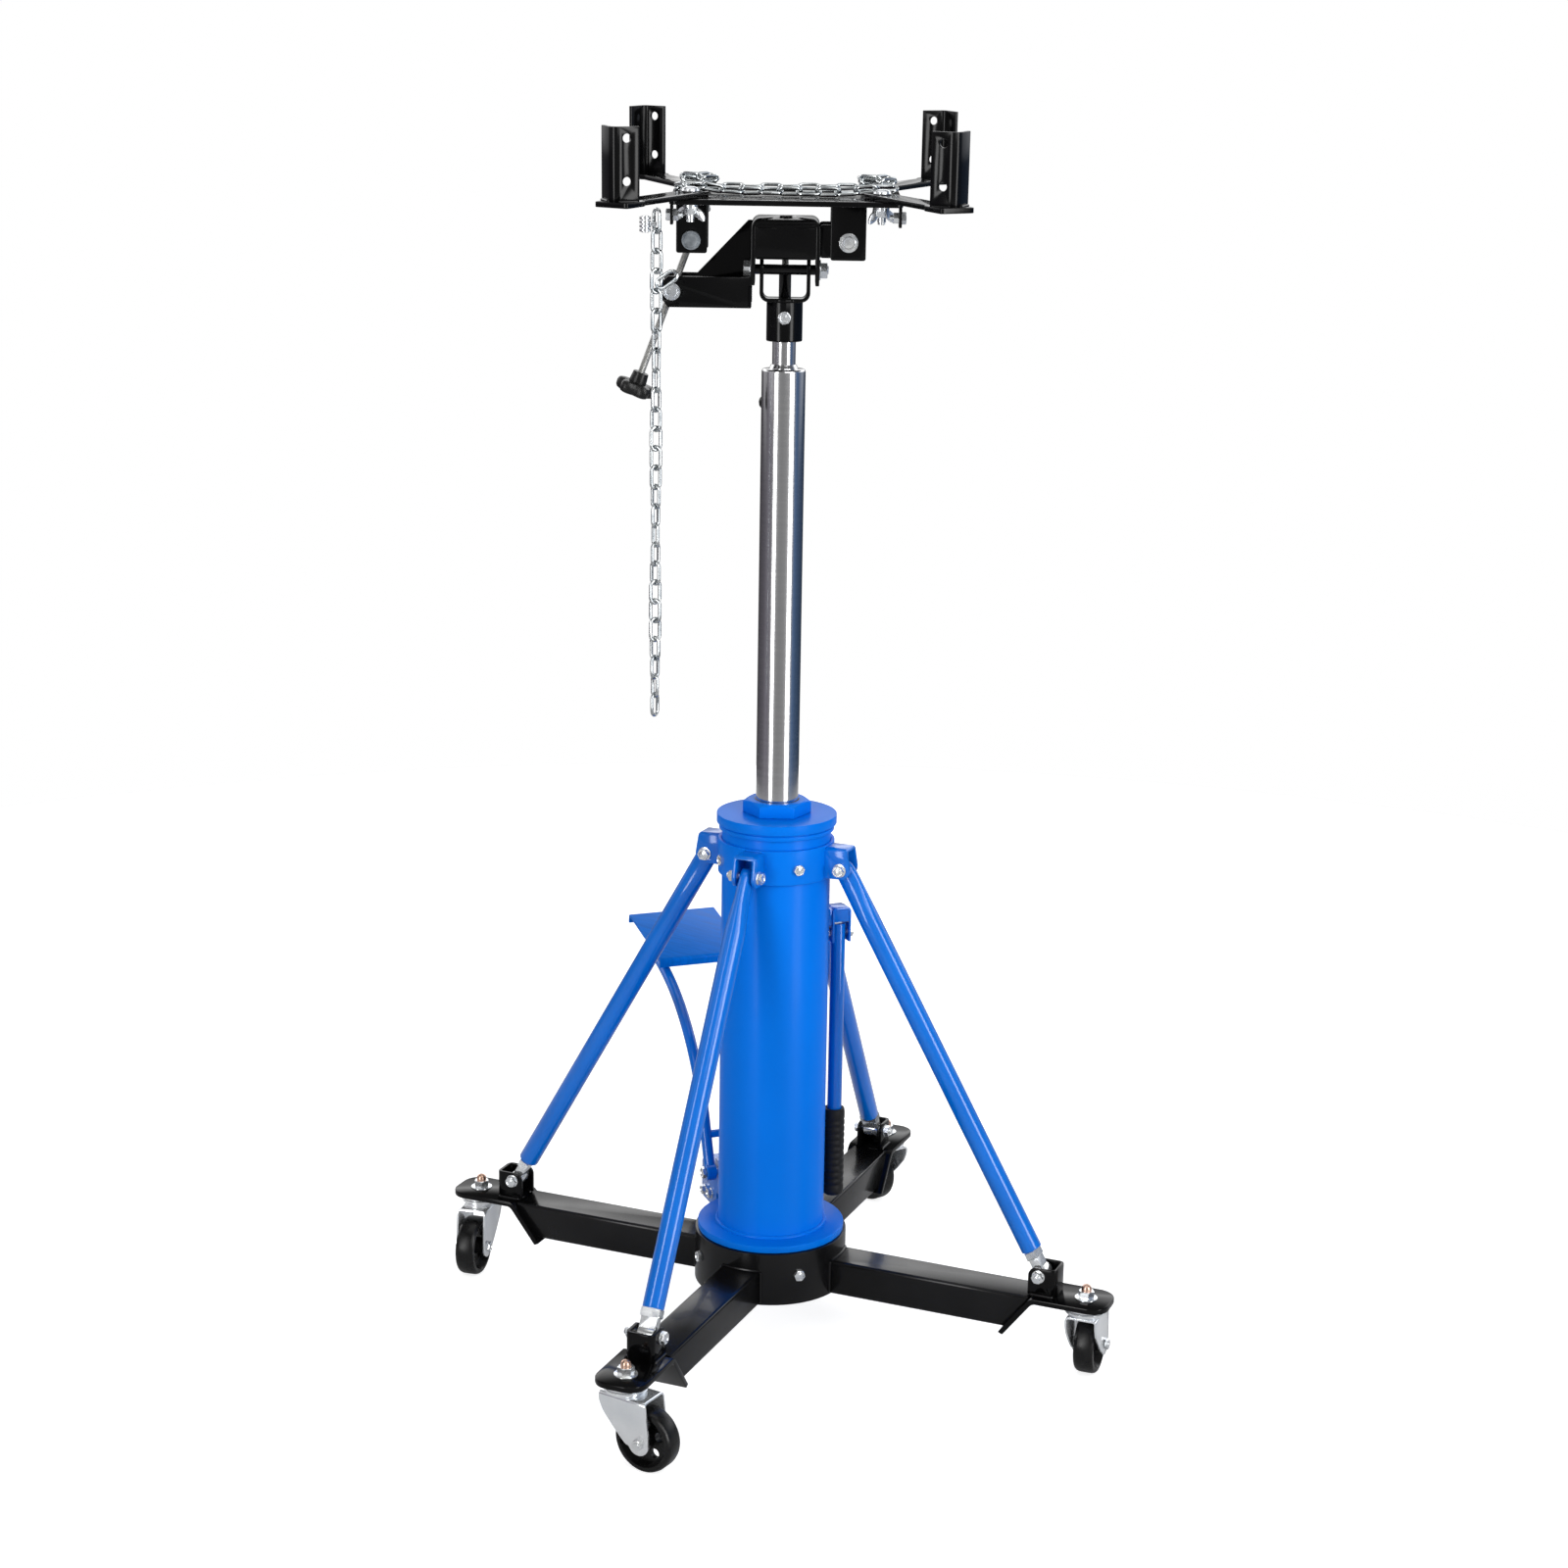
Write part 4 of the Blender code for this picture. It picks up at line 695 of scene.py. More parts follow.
def build_column():
    """The reservoir, its cap and gland nut, and the brace collar with its lugs."""
    tube = [(0, 0.1273), (0.0905, 0.1273), (0.0905, 0.1360), (0.0655, 0.1360), (0.0655, 0.6397),
            (0.0303, 0.6397), (0.0303, 0.1368), (0, 0.1368)]
    piece("column_tube", turned(eased(tube, 0.0012), 96), BLUE, "column", replaces=["reservoir"])
    piece("flange_weld", weld_ring(0.0662, 0.1368, 0.0030), BLUE, "column")
    cap = [(0.0259, 0.6400), (0.0693, 0.6400), (0.0693, 0.6448), (0.0680, 0.6453), (0.0680, 0.6470),
           (0.0722, 0.6475), (0.0722, 0.6590), (0.0259, 0.6590)]
    piece("cap_disc", turned(eased(cap, 0.0008), 96), BLUE, "column", replaces=["column_cap"])
    nut = hexagon(0.0713, 0.0166, bore=0.0268)
    nut.transform(Matrix.Translation((0, 0, 0.6593)) @ turn_z(HEAD_TURN))
    seal = turned(eased([(0.0258, 0.6620), (0.0272, 0.6620), (0.0272, 0.6757), (0.0258, 0.6757)], 0.0004), 48)
    piece("gland_hexagon", softened(nut, 0.0006), BLUE, "column", replaces=["gland_nut"])
    piece("gland_wiper", seal, KNOB, "column")
    ring = turned(eased([(0.0658, 0.5860), (0.0700, 0.5860), (0.0700, 0.6280), (0.0658, 0.6280)], 0.0012), 96)
    piece("collar_ring", ring, BLUE, "column", replaces=["brace_collar"])
    for side, place in LEG.items():
        build_lug(side, place)
    for k in range(4):
        spin = turn_z(math.radians(45 + 90 * k))
        screws = bolt_shapes((0.0698, 0, 0.6050), (1, 0, 0), 0.0120, 0.0045, roll=0.4 * k)
        piece(f"collar_screw_{k}", merged(*screws), ZINC, "column", spin)


def build_lug(side, place):
    """Hooded clevis on the collar: two rounded cheeks under a bent roof."""
    inner, outer = 0.0105, 0.0145
    section = [(-outer, 0.56), (-outer, 0.6215)] + arc((-outer + 0.005, 0.6215), 0.005, 180, 90, 5)
    section += arc((outer - 0.005, 0.6215), 0.005, 90, 0, 5) + [(outer, 0.56), (inner, 0.56)]
    section += arc((inner - 0.002, 0.6205), 0.002, 0, 90, 3)
    section += arc((-inner + 0.002, 0.6205), 0.002, 90, 180, 3)
    section += [(-inner, 0.56)]
    channel = prism(section, 0.0665, 0.104, "x")
    cheek = [(0.060, 0.5885), (0.0800, 0.5885)] + arc((0.088, 0.600), 0.0123, -62, 15, 10)
    cheek += [(0.0985, 0.6120), (0.0960, 0.6268), (0.060, 0.6268)]
    blade = prism(rounded_some(cheek), -0.03, 0.03, "y")
    shape = intersection(channel, blade)
    hole = rod((0.088, -0.03, 0.600), (0.088, 0.03, 0.600), 0.0045)
    ring = turned([(0, 0.55), (0.0690, 0.55), (0.0690, 0.65), (0, 0.65)], 64)
    piece(f"collar_lug_{side}", carved(shape, cut=[hole, ring], soften=0.0006), BLUE_GLOSS, "column", place)
    at = BRACE_HIGH
    shapes = bolt_shapes(at + Vector((0, outer, 0)), (0, 1, 0), 0.0128, 0.0052, 0.0082)
    shapes += nut_shapes(at - Vector((0, outer, 0)), (0, -1, 0), 0.0128, 0.0058, 0.0082)
    shapes.append(rod(at - Vector((0, outer, 0)), at + Vector((0, outer, 0)), 0.0040))
    piece(f"collar_bolt_{side}", merged(*shapes), ZINC, "column", place)


def rounded_some(points):
    """Rounds the two roof corners of a lug's side view."""
    foot, eave, ridge, end = points[-4:]
    return points[:-3] + rounded_corner(foot, eave, ridge) + rounded_corner(eave, ridge, end) + [end]


def rounded_corner(before, here, after, radius=0.004, steps=4):
    """A corner of an outline, replaced by a curve between its two sides."""
    before, here, after = Vector(before), Vector(here), Vector(after)
    start = here + (before - here).normalized() * min(radius, (before - here).length * 0.45)
    end = here + (after - here).normalized() * min(radius, (after - here).length * 0.45)
    return [tuple(start * (1 - t) ** 2 + here * 2 * t * (1 - t) + end * t**2)
            for t in (k / steps for k in range(steps + 1))]


def build_rams():
    """The two chromed rams with the lower one's bored mouth."""
    lower = [(0.0205, 0.6000), (0.0297, 0.6000), (0.0297, 0.6220), (0.0255, 0.6220), (0.0255, 1.1845),
             (0.0251, 1.1860), (0.0240, 1.1872), (0.0232, 1.1875),
             (0.0152, 1.1875), (0.0142, 1.1862), (0.0138, 1.1720), (0.0205, 1.1720)]
    piece("outer_ram", turned(lower, 96), RAM, "lower_ram", replaces=["lower_ram"])
    wiper = [(0.0138, 1.1860), (0.0178, 1.1860), (0.0168, 1.1885), (0.0152, 1.1912), (0.0146, 1.1925),
             (0.0138, 1.1925)]
    piece("inner_ram_wiper", turned(eased(wiper, 0.0003, 2), 64), RAM, "lower_ram")
    upper = [(0, 0.6400), (0.0202, 0.6400), (0.0202, 0.6600), (0.0135, 0.6600), (0.0135, 1.2575), (0, 1.2575)]
    piece("inner_ram", turned(eased(upper, 0.0006), 64), RAM, "upper_ram", replaces=["upper_ram"])


# Head


def build_head():
    """The yoke on the upper ram, its rear screw fork and the bolt for the bracket."""
    bore, radius, mouth, lead = 0.01395, 0.0208, 1.2190, 0.0010
    tube = turned([(0, 1.2579), (bore, 1.2579), (bore, mouth + lead), (bore + lead, mouth),
                   (radius - lead, mouth), (radius, mouth + lead), (radius, 1.2655), (0, 1.2655)], 64)
    wide, wall, low, corner = 0.029, 0.0042, 1.264, 0.0105
    top = PIVOT_Z + 0.019
    outer = arc((-wide + corner, low + corner), corner, 180, 270, 8)
    outer += arc((wide - corner, low + corner), corner, 270, 360, 8)
    inner = arc((wide - corner, low + corner), corner - wall, 360, 270, 8)
    inner += arc((-wide + corner, low + corner), corner - wall, 270, 180, 8)
    outline = [(-wide, top)] + outer + [(wide, top), (wide - wall, top)] + inner + [(-wide + wall, top)]
    yoke = prism(outline, -0.019, 0.019, "y")
    over = [(-0.03, PIVOT_Z)] + arc((0, PIVOT_Z), 0.019, 180, 0, 16)
    over += [(0.03, PIVOT_Z), (0.03, 1.34), (-0.03, 1.34)]
    trim = prism(over, -0.04, 0.04, "x")
    bore = rod((-0.05, 0, PIVOT_Z), (0.05, 0, PIVOT_Z), 0.0063)
    fork_outline = [(0.012, 1.2315), (0.056, 1.2315)] + arc((0.062, 1.247), 0.0125, -100, 100, 14)
    fork_outline += [(0.056, 1.2615), (0.012, 1.2615)]
    fork = [prism(fork_outline, a, b, "x") for a, b in ((-0.0165, -0.0125), (0.0125, 0.0165))]
    pin = rod((-0.03, 0.062, 1.247), (0.03, 0.062, 1.247), 0.0063)
    shape = carved(tube, add=[yoke, *fork], cut=[trim, bore, pin], soften=0.0007)
    piece("yoke_forging", shape, BLACK, "head", HEAD, ["head_yoke"])
    weld = weld_ring(0.0208, 1.2655, 0.0022, 72)
    piece("yoke_weld", weld, BLACK, "head", HEAD)
    screw = bolt_shapes((0, -0.0204, 1.2466), (0, -1, 0), 0.0128, 0.0055, 0.0072, roll=0.2)
    piece("socket_screw", merged(*screw), ZINC, "head", HEAD)
    middle = Vector((0, 0, PIVOT_Z))
    shapes = bolt_shapes(middle - Vector((0.0392, 0, 0)), (-1, 0, 0), 0.0175, 0.0072, 0.0115, roll=0.3)
    shapes += nut_shapes(middle + Vector((0.0392, 0, 0)), (1, 0, 0), 0.0175, 0.0078, 0.0115, 0.001, roll=0.1)
    piece("yoke_cross_bolt", merged(*shapes), ZINC, "head", HEAD, ["yoke_bolt"])
    shank = rod(middle - Vector((0.0392, 0, 0)), middle + Vector((0.0392, 0, 0)), 0.0058)
    piece("yoke_bolt_shank", shank, BLACK_SATIN, "head", HEAD)


def build_bracket():
    """Inverted bent cap over the yoke with its two arms."""
    wide, deep, wall, high = 0.039, 0.035, 0.0045, 0.0585
    corner = 0.0095
    outer = [(-wide, -0.016)] + arc((-wide + corner, high - corner), corner, 180, 90, 8)
    outer += arc((wide - corner, high - corner), corner, 90, 0, 8) + [(wide, -0.016), (wide - wall, -0.016)]
    outer += arc((wide - corner, high - corner), corner - wall, 0, 90, 8)
    outer += arc((-wide + corner, high - corner), corner - wall, 90, 180, 8) + [(-wide + wall, -0.016)]
    strap = prism(outer, -deep, deep, "y")
    cheek_low = []
    for y in (-1, 1):
        lower = prism([(0.021 * y, -0.03), (0.050 * y, -0.03), (0.050 * y, 0.006), (0.035 * y, 0.006),
                       (0.024 * y, -0.010)], -0.06, 0.06, "x")
        cheek_low.append(lower)
    slot = prism(rounded([(-0.007, -0.012), (0.007, -0.012), (0.007, 0.021), (-0.007, 0.021)], 0.0065, 6),
                 0.04, 0.07)
    pin = rod((-0.06, 0, 0), (0.06, 0, 0), 0.0063)
    piece("bracket_cap", carved(strap, cut=[slot, pin, *cheek_low], soften=0.0010), BLACK, "bracket", SADDLE,
          ["tilt_bracket"])
    panel = [(-wide + wall - 0.0005, 0.0147), (wide - wall + 0.0005, 0.0147),
             (wide - wall + 0.0005, high - wall), (-wide + wall - 0.0005, high - wall)]
    front = prism(rounded(panel, 0.004, 4), -deep + 0.0008, -deep + 0.0045, "y")
    lips = [box((a, -deep - 0.0006, b), (c, -deep + 0.0012, d))
            for a, b, c, d in ((-0.0325, 0.0488, -0.0105, 0.0502), (0.0105, 0.0488, 0.0325, 0.0502),
                               (-0.0325, 0.0152, 0.0325, 0.0166))]
    piece("bracket_front_panel", softened(merged(front, *lips), 0.0006), BLACK, "bracket", SADDLE)
    rear = prism(rounded(panel, 0.004, 4), deep - 0.0045, deep - 0.0008, "y")
    gap = box((-0.008, 0.02, 0.0), (0.008, 0.05, 0.036))
    piece("bracket_rear_panel", carved(rear, cut=[gap], soften=0.0006), BLACK, "bracket", SADDLE)
    # Left arm: front cheek, rear gusset and the web under them.
    end = -0.1395
    foot = [(-0.0385, -0.042), (end + 0.006, -0.042), (end, -0.034), (end, -0.012), (end + 0.006, -0.007),
            (-0.0385, -0.007)]
    gusset = [(-0.0385, -0.042), (end + 0.006, -0.042), (end, -0.034), (end, -0.012), (end + 0.006, -0.007),
              (-0.101, -0.007), (-0.043, 0.0535), (-0.0385, 0.0535)]
    across = Vector((0, 0.04, 0))
    low = SIDE_LOW
    front_cheek = carved(prism(foot, -0.023, -0.0185, "y"), cut=[rod(low - across, low + across, 0.0087)],
                         soften=0.0007)
    rear_cheek = carved(prism(gusset, 0.0185, 0.023, "y"), cut=[rod(low - across, low + across, 0.0087)],
                        soften=0.0007)
    web = softened(box((-0.100, -0.0187, -0.0418), (-0.0385, 0.0187, -0.0375)), 0.0005)
    piece("left_arm_front_cheek", front_cheek, BLACK, "bracket", SADDLE)
    piece("left_arm_rear_cheek", rear_cheek, BLACK, "bracket", SADDLE)
    piece("left_arm_web", web, BLACK, "bracket", SADDLE)
    pivot = TILT_PIVOT
    outline = rounded([(0.0385, 0.016), (0.090, 0.016), (0.090, 0.053), (0.0385, 0.053)], 0.004, 4)
    for name, a, b in (("front", -0.023, -0.0185), ("rear", 0.0185, 0.023)):
        cheek = carved(prism(outline, a, b, "y"), cut=[rod(pivot - across, pivot + across, 0.0064)],
                       soften=0.0007)
        piece(f"right_arm_{name}_cheek", cheek, BLACK, "bracket", SADDLE)
    piece("right_arm_web", softened(box((0.0385, -0.0187, 0.0163), (0.060, 0.0187, 0.0205)), 0.0005), BLACK,
          "bracket", SADDLE)
    welds = []
    for y in (-0.0235, 0.0235):
        welds.append(weld_bead((-0.0396, y, -0.041), (-0.0396, y, -0.0165), 0.0018))
        welds.append(weld_bead((0.0396, y, 0.018), (0.0396, y, 0.046), 0.0018))
    welds.append(weld_bead((-0.0396, 0.0235, -0.0155), (-0.0396, 0.0235, 0.045), 0.0018))
    piece("bracket_welds", merged(*welds), BLACK, "bracket", SADDLE)
    shapes = bolt_shapes(pivot - Vector((0, 0.0292, 0)), (0, -1, 0), 0.0150, 0.0065, 0.0108, roll=0.25)
    shapes += nut_shapes(pivot + Vector((0, 0.0292, 0)), (0, 1, 0), 0.0170, 0.0058, 0.0118, 0.0)
    shapes.append(rod(pivot - Vector((0, 0.0292, 0)), pivot + Vector((0, 0.0292, 0)), 0.0060))
    piece("saddle_pivot_fastener", merged(*shapes), ZINC, "bracket", SADDLE, ["saddle_pivot_bolt"])


def build_saddle():
    """The pressed plate, its brackets, and the four arms that swing on it."""
    long, deep = 0.130, 0.085
    outline = rounded([(-long, -deep), (long, -deep), (long, deep), (-long, deep)], 0.010, 6)
    plate = prism(outline, 0.0785, 0.0845)
    holes = [rod((x * ARM_BOLT.x, y * ARM_BOLT.y, 0.07), (x * ARM_BOLT.x, y * ARM_BOLT.y, 0.09), 0.0054)
             for x in (-1, 1)
             for y in (-1, 1)]
    piece("saddle_deck", carved(plate, cut=holes, soften=0.0008), BLACK, "saddle", SADDLE, ["saddle_plate"])
    across = Vector((0, 0.04, 0))
    right = rounded([(0.051, 0.0795), (0.051, 0.014), (0.091, 0.014), (0.091, 0.0795)], 0.003, 4)
    left = rounded([(-0.124, 0.0795), (-0.124, 0.020), (-0.089, 0.020), (-0.089, 0.0795)], 0.003, 4)
    pivot = TILT_PIVOT
    upper = SIDE_HIGH
    for name, outline, at, size in (("right", right, pivot, 0.0064), ("left", left, upper, 0.0088)):
        for end, a, b in (("front", -0.029, -0.024), ("rear", 0.024, 0.029)):
            cheek = carved(prism(outline, a, b, "y"), cut=[rod(at - across, at + across, size)],
                           soften=0.0008)
            piece(f"saddle_{name}_{end}_ear", cheek, BLACK, "saddle", SADDLE)
    welds = []
    for x0, x1 in ((0.052, 0.090), (-0.123, -0.090)):
        for y in (-0.0300, 0.0300):
            welds.append(weld_bead((x0, y, 0.0778), (x1, y, 0.0778), 0.0017))
    piece("saddle_welds", merged(*welds), BLACK, "saddle", SADDLE)
    for name, x, y in (("right_rear", 1, 1), ("right_front", 1, -1), ("left_rear", -1, 1),
                       ("left_front", -1, -1)):
        build_arm(name, x, y)
        build_arm_bolt(name, x, y)


def build_arm(name, x, y):
    """A saddle arm: strip, foot and holed upright. x and y give its corner's signs."""
    angle = math.radians(ARM_ANGLES[name])
    base = 0.0848
    pivot = Vector((x * ARM_BOLT.x, y * ARM_BOLT.y, base))
    along = Vector((x * math.cos(angle), y * math.sin(angle)))
    across = Vector((-along.y, along.x))

    def place(u, v):
        return (pivot.x + along.x * u + across.x * v, pivot.y + along.y * u + across.y * v)

    half, pad, reach = 0.015, 0.0205, 0.168
    outline = arc((-0.012, 0), half, 90, 270, 14)
    outline += [(reach - 0.044, -half)]
    outline += rounded_corner((reach - 0.044, -half), (reach - 0.036, -pad), (reach - 0.004, -pad))
    outline += rounded_corner((reach - 0.004, -pad), (reach + 0.0015, -pad), (reach + 0.0015, 0), 0.006)
    outline += rounded_corner((reach + 0.0015, 0), (reach + 0.0015, pad), (reach - 0.004, pad), 0.006)
    outline += rounded_corner((reach - 0.004, pad), (reach - 0.036, pad), (reach - 0.044, half))
    outline += [(reach - 0.044, half)]
    bar = prism([place(u, v) for u, v in outline], base, base + 0.006)
    hole = rod((pivot.x, pivot.y, 0.07), (pivot.x, pivot.y, 0.10), 0.0054)
    piece(f"arm_bar_{name}", carved(bar, cut=[hole], soften=0.0009), BLACK, f"arm_{name}", SADDLE,
          [f"saddle_arm_{name}"])
    corner = Vector(place(reach, 0))
    lean = angle - math.radians(39)
    one = Vector((-x * math.cos(lean), -y * math.sin(lean)))
    two = Vector((x * math.sin(lean), -y * math.cos(lean)))
    width, wall, bend = 0.032, 0.004, 0.0095
    section = [(0, width), (0, bend)] + arc((bend, bend), bend, 180, 270, 8)[1:] + [(width, 0), (width, wall)]
    section += arc((bend, bend), bend - wall, 270, 180, 6) + [(wall, width)]
    points = [corner + one * u + two * v for u, v in section]
    angle_iron = prism([(p.x, p.y) for p in points], base + 0.0045, 0.169)
    normal = Vector((-one.y, one.x, 0))
    middle = corner + one * 0.018
    holes = []
    for height in (0.112, 0.157):
        spot = Vector((middle.x, middle.y, height))
        holes.append(rod(spot - normal * 0.015, spot + normal * 0.015, 0.0048, 32))
    piece(f"arm_upright_{name}", carved(angle_iron, cut=holes, soften=0.0006), BLACK, f"arm_{name}", SADDLE)
    beads = []
    for direction in (one, two):
        start = corner + direction * 0.008
        end = corner + direction * (width - 0.001)
        offset = -(two if direction is one else one) * 0.0006
        beads.append(weld_bead((start.x + offset.x, start.y + offset.y, base + 0.0064),
                               (end.x + offset.x, end.y + offset.y, base + 0.0064), 0.0019))
    piece(f"arm_weld_{name}", merged(*beads), BLACK, f"arm_{name}", SADDLE)


def build_arm_bolt(name, x, y):
    """Domed bolt through the arm, with a wing nut under the saddle plate."""
    at = Vector((x * ARM_BOLT.x, y * ARM_BOLT.y, 0.0910))
    dome = turned([(0, 0.0), (0.0100, 0.0), (0.0104, 0.0008), (0.0096, 0.0028), (0.0075, 0.0044),
                   (0.0040, 0.0053), (0, 0.0055)], 32)
    dome.transform(Matrix.Translation(at))
    shank = rod((at.x, at.y, 0.0600), (at.x, at.y, 0.0915), 0.0048)
    piece(f"arm_bolt_{name}", merged(dome, shank), ZINC, "saddle", SADDLE)
    washer = turned(eased([(0, 0), (0.0115, 0), (0.0115, 0.0016), (0, 0.0016)], 0.0003, 2), 32)
    washer.transform(Matrix.Translation((at.x, at.y, 0.0765)))
    boss = turned([(0, 0), (0.0062, 0), (0.0068, 0.0012), (0.0085, 0.0095), (0.0085, 0.0105), (0, 0.0105)],
                  24)
    boss.transform(Matrix.Translation((at.x, at.y, 0.0658)))
    wings = []
    spin = math.radians(20 + 35 * x + 15 * y)
    for turn in (0, math.pi):
        wing = prism(rounded([(0.004, 0.0), (0.0125, -0.0065), (0.0185, -0.0085), (0.0200, -0.0040),
                              (0.0165, 0.0035),
                              (0.0085, 0.0080), (0.004, 0.0085)], 0.004, 5), -0.0014, 0.0014, "y")
        wing = softened(wing, 0.0007)
        wing.transform(Matrix.Translation((at.x, at.y, 0.0665)) @ turn_z(spin + turn))
        wings.append(wing)
    tip = thread(0.0046, 0, 0.012, 0.0014)
    tip.transform(Matrix.Translation((at.x, at.y, 0.0575)))
    piece(f"wing_nut_{name}", merged(washer, boss, tip, *wings), ZINC, "saddle", SADDLE)


# Tilt screws


def build_screws():
    """The two tilt screws with their knobs and trunnions."""
    y = Vector((0, 1, 0))
    low, high = SIDE_LOW, SIDE_HIGH
    along = (high - low).normalized()
    roller = rod(low - y * 0.0255, low + y * 0.0255, 0.0085, 40, 0.0008)
    cross = rod(low - along * 0.02, low + along * 0.02, 0.0046)
    piece("side_low_roller", carved(roller, cut=[cross], soften=0), STEEL, "side_lower", SADDLE,
          ["side_lower_trunnion"])
    ring = turned(eased([(0.0062, 0), (0.0098, 0), (0.0098, 0.0016), (0.0062, 0.0016)], 0.0003, 2), 32)
    clips = []
    for sign in (-1, 1):
        clip = ring.copy()
        clip.transform(aim(low + y * (0.0233 * sign), y * sign))
        clips.append(clip)
    ring.free()
    caps = [rimmed_disc(low + y * (0.0250 * sign), y * sign, 0.0092, 0.0016) for sign in (-1, 1)]
    piece("side_low_clips", merged(*clips, *caps), ZINC, "side_lower", SADDLE)
    body = rod(high - y * 0.0235, high + y * 0.0235, 0.0090, 40, 0.0006)
    cross = rod(high - along * 0.02, high + along * 0.02, 0.0046)
    pins = [rod(high + y * (0.0230 * s), high + y * (0.0302 * s), 0.0060) for s in (-1, 1)]
    piece("side_high_roller", carved(body, add=pins, cut=[cross], soften=0), STEEL, "side_upper", SADDLE,
          ["side_upper_trunnion"])
    discs = [rimmed_disc(high + y * (0.0293 * s), y * s, 0.0108, 0.0024) for s in (-1, 1)]
    piece("side_high_discs", merged(*discs), DULL_STEEL, "side_upper", SADDLE)
    knob_at = low - along * 0.1168
    build_screw("side", knob_at, high + along * 0.012, along, SADDLE, "side_screw",
                ["side_tilt_screw"], ["side_tilt_knob"], 0.0240)
    x = Vector((1, 0, 0))
    low, high = REAR_LOW, REAR_HIGH
    along = (high - low).normalized()
    body = rod(low - x * 0.0122, low + x * 0.0122, 0.0085, 40, 0.0006)
    pins = [rod(low + x * (0.0118 * s), low + x * (0.0190 * s), 0.0060) for s in (-1, 1)]
    cross = rod(low - along * 0.02, low + along * 0.02, 0.0046)
    piece("rear_low_roller", carved(body, add=pins, cut=[cross], soften=0), STEEL, "rear_lower", HEAD,
          ["rear_lower_trunnion"])
    body = rod(high - x * 0.0335, high + x * 0.0335, 0.0090, 40, 0.0006)
    cross = rod(high - along * 0.02, high + along * 0.02, 0.0046)
    piece("rear_high_roller", carved(body, cut=[cross], soften=0), STEEL, "rear_upper", HEAD,
          ["rear_upper_trunnion"])
    knob_at = low - along * 0.123
    build_screw("rear", knob_at, high + along * 0.018, along, HEAD, "rear_screw",
                ["rear_tilt_screw"], ["rear_tilt_knob"], 0.0295, math.pi)
    sleeve = rod(low + along * 0.0172, low + along * 0.0560, 0.0071, 36, 0.0006)
    piece("rear_screw_sleeve", sleeve, BLACK_SATIN, "rear_screw", HEAD)


def build_screw(name, knob_at, tip, along, place, body, screw_nodes, knob_nodes, knob_radius, spin=0.0):
    """One screw with its knob. Along is its direction, tip its upper end."""
    length = (tip - knob_at).length
    screw = thread(0.0042, 0.012, length, 0.0015, 16)
    screw.transform(aim(knob_at, along))
    piece(f"{name}_screw_rod", screw, STEEL, body, place, screw_nodes)
    lobes = 5
    samples = 80
    levels = [(-0.0125, 0.55), (-0.0122, 0.78), (-0.0110, 0.92), (-0.0085, 0.985), (-0.0040, 1.0),
              (-0.0015, 0.985), (0.0008, 0.92), (0.0018, 0.80), (0.0022, 0.55)]
    rings = []
    for height, scale in levels:
        ring = []
        for i in range(samples):
            t = 2 * math.pi * i / samples
            wave = (0.5 + 0.5 * math.cos(lobes * t)) ** 0.7
            radius = knob_radius * (0.72 + 0.28 * wave) * scale
            ring.append((radius * math.cos(t + spin), radius * math.sin(t + spin), height))
        rings.append(ring)
    star = loft(rings)
    boss = turned(eased([(0, 0.0005), (0.0105, 0.0005), (0.0090, 0.0145), (0, 0.0145)], 0.0010, 3), 40)
    cap = turned(eased([(0, -0.0128), (0.0070, -0.0128), (0.0070, -0.0118), (0, -0.0118)], 0.0003, 2), 32)
    shape = merged(star, boss, cap)
    shape.transform(aim(knob_at, along))
    piece(f"{name}_hand_knob", shape, KNOB, body, place, knob_nodes)


# Foot pump


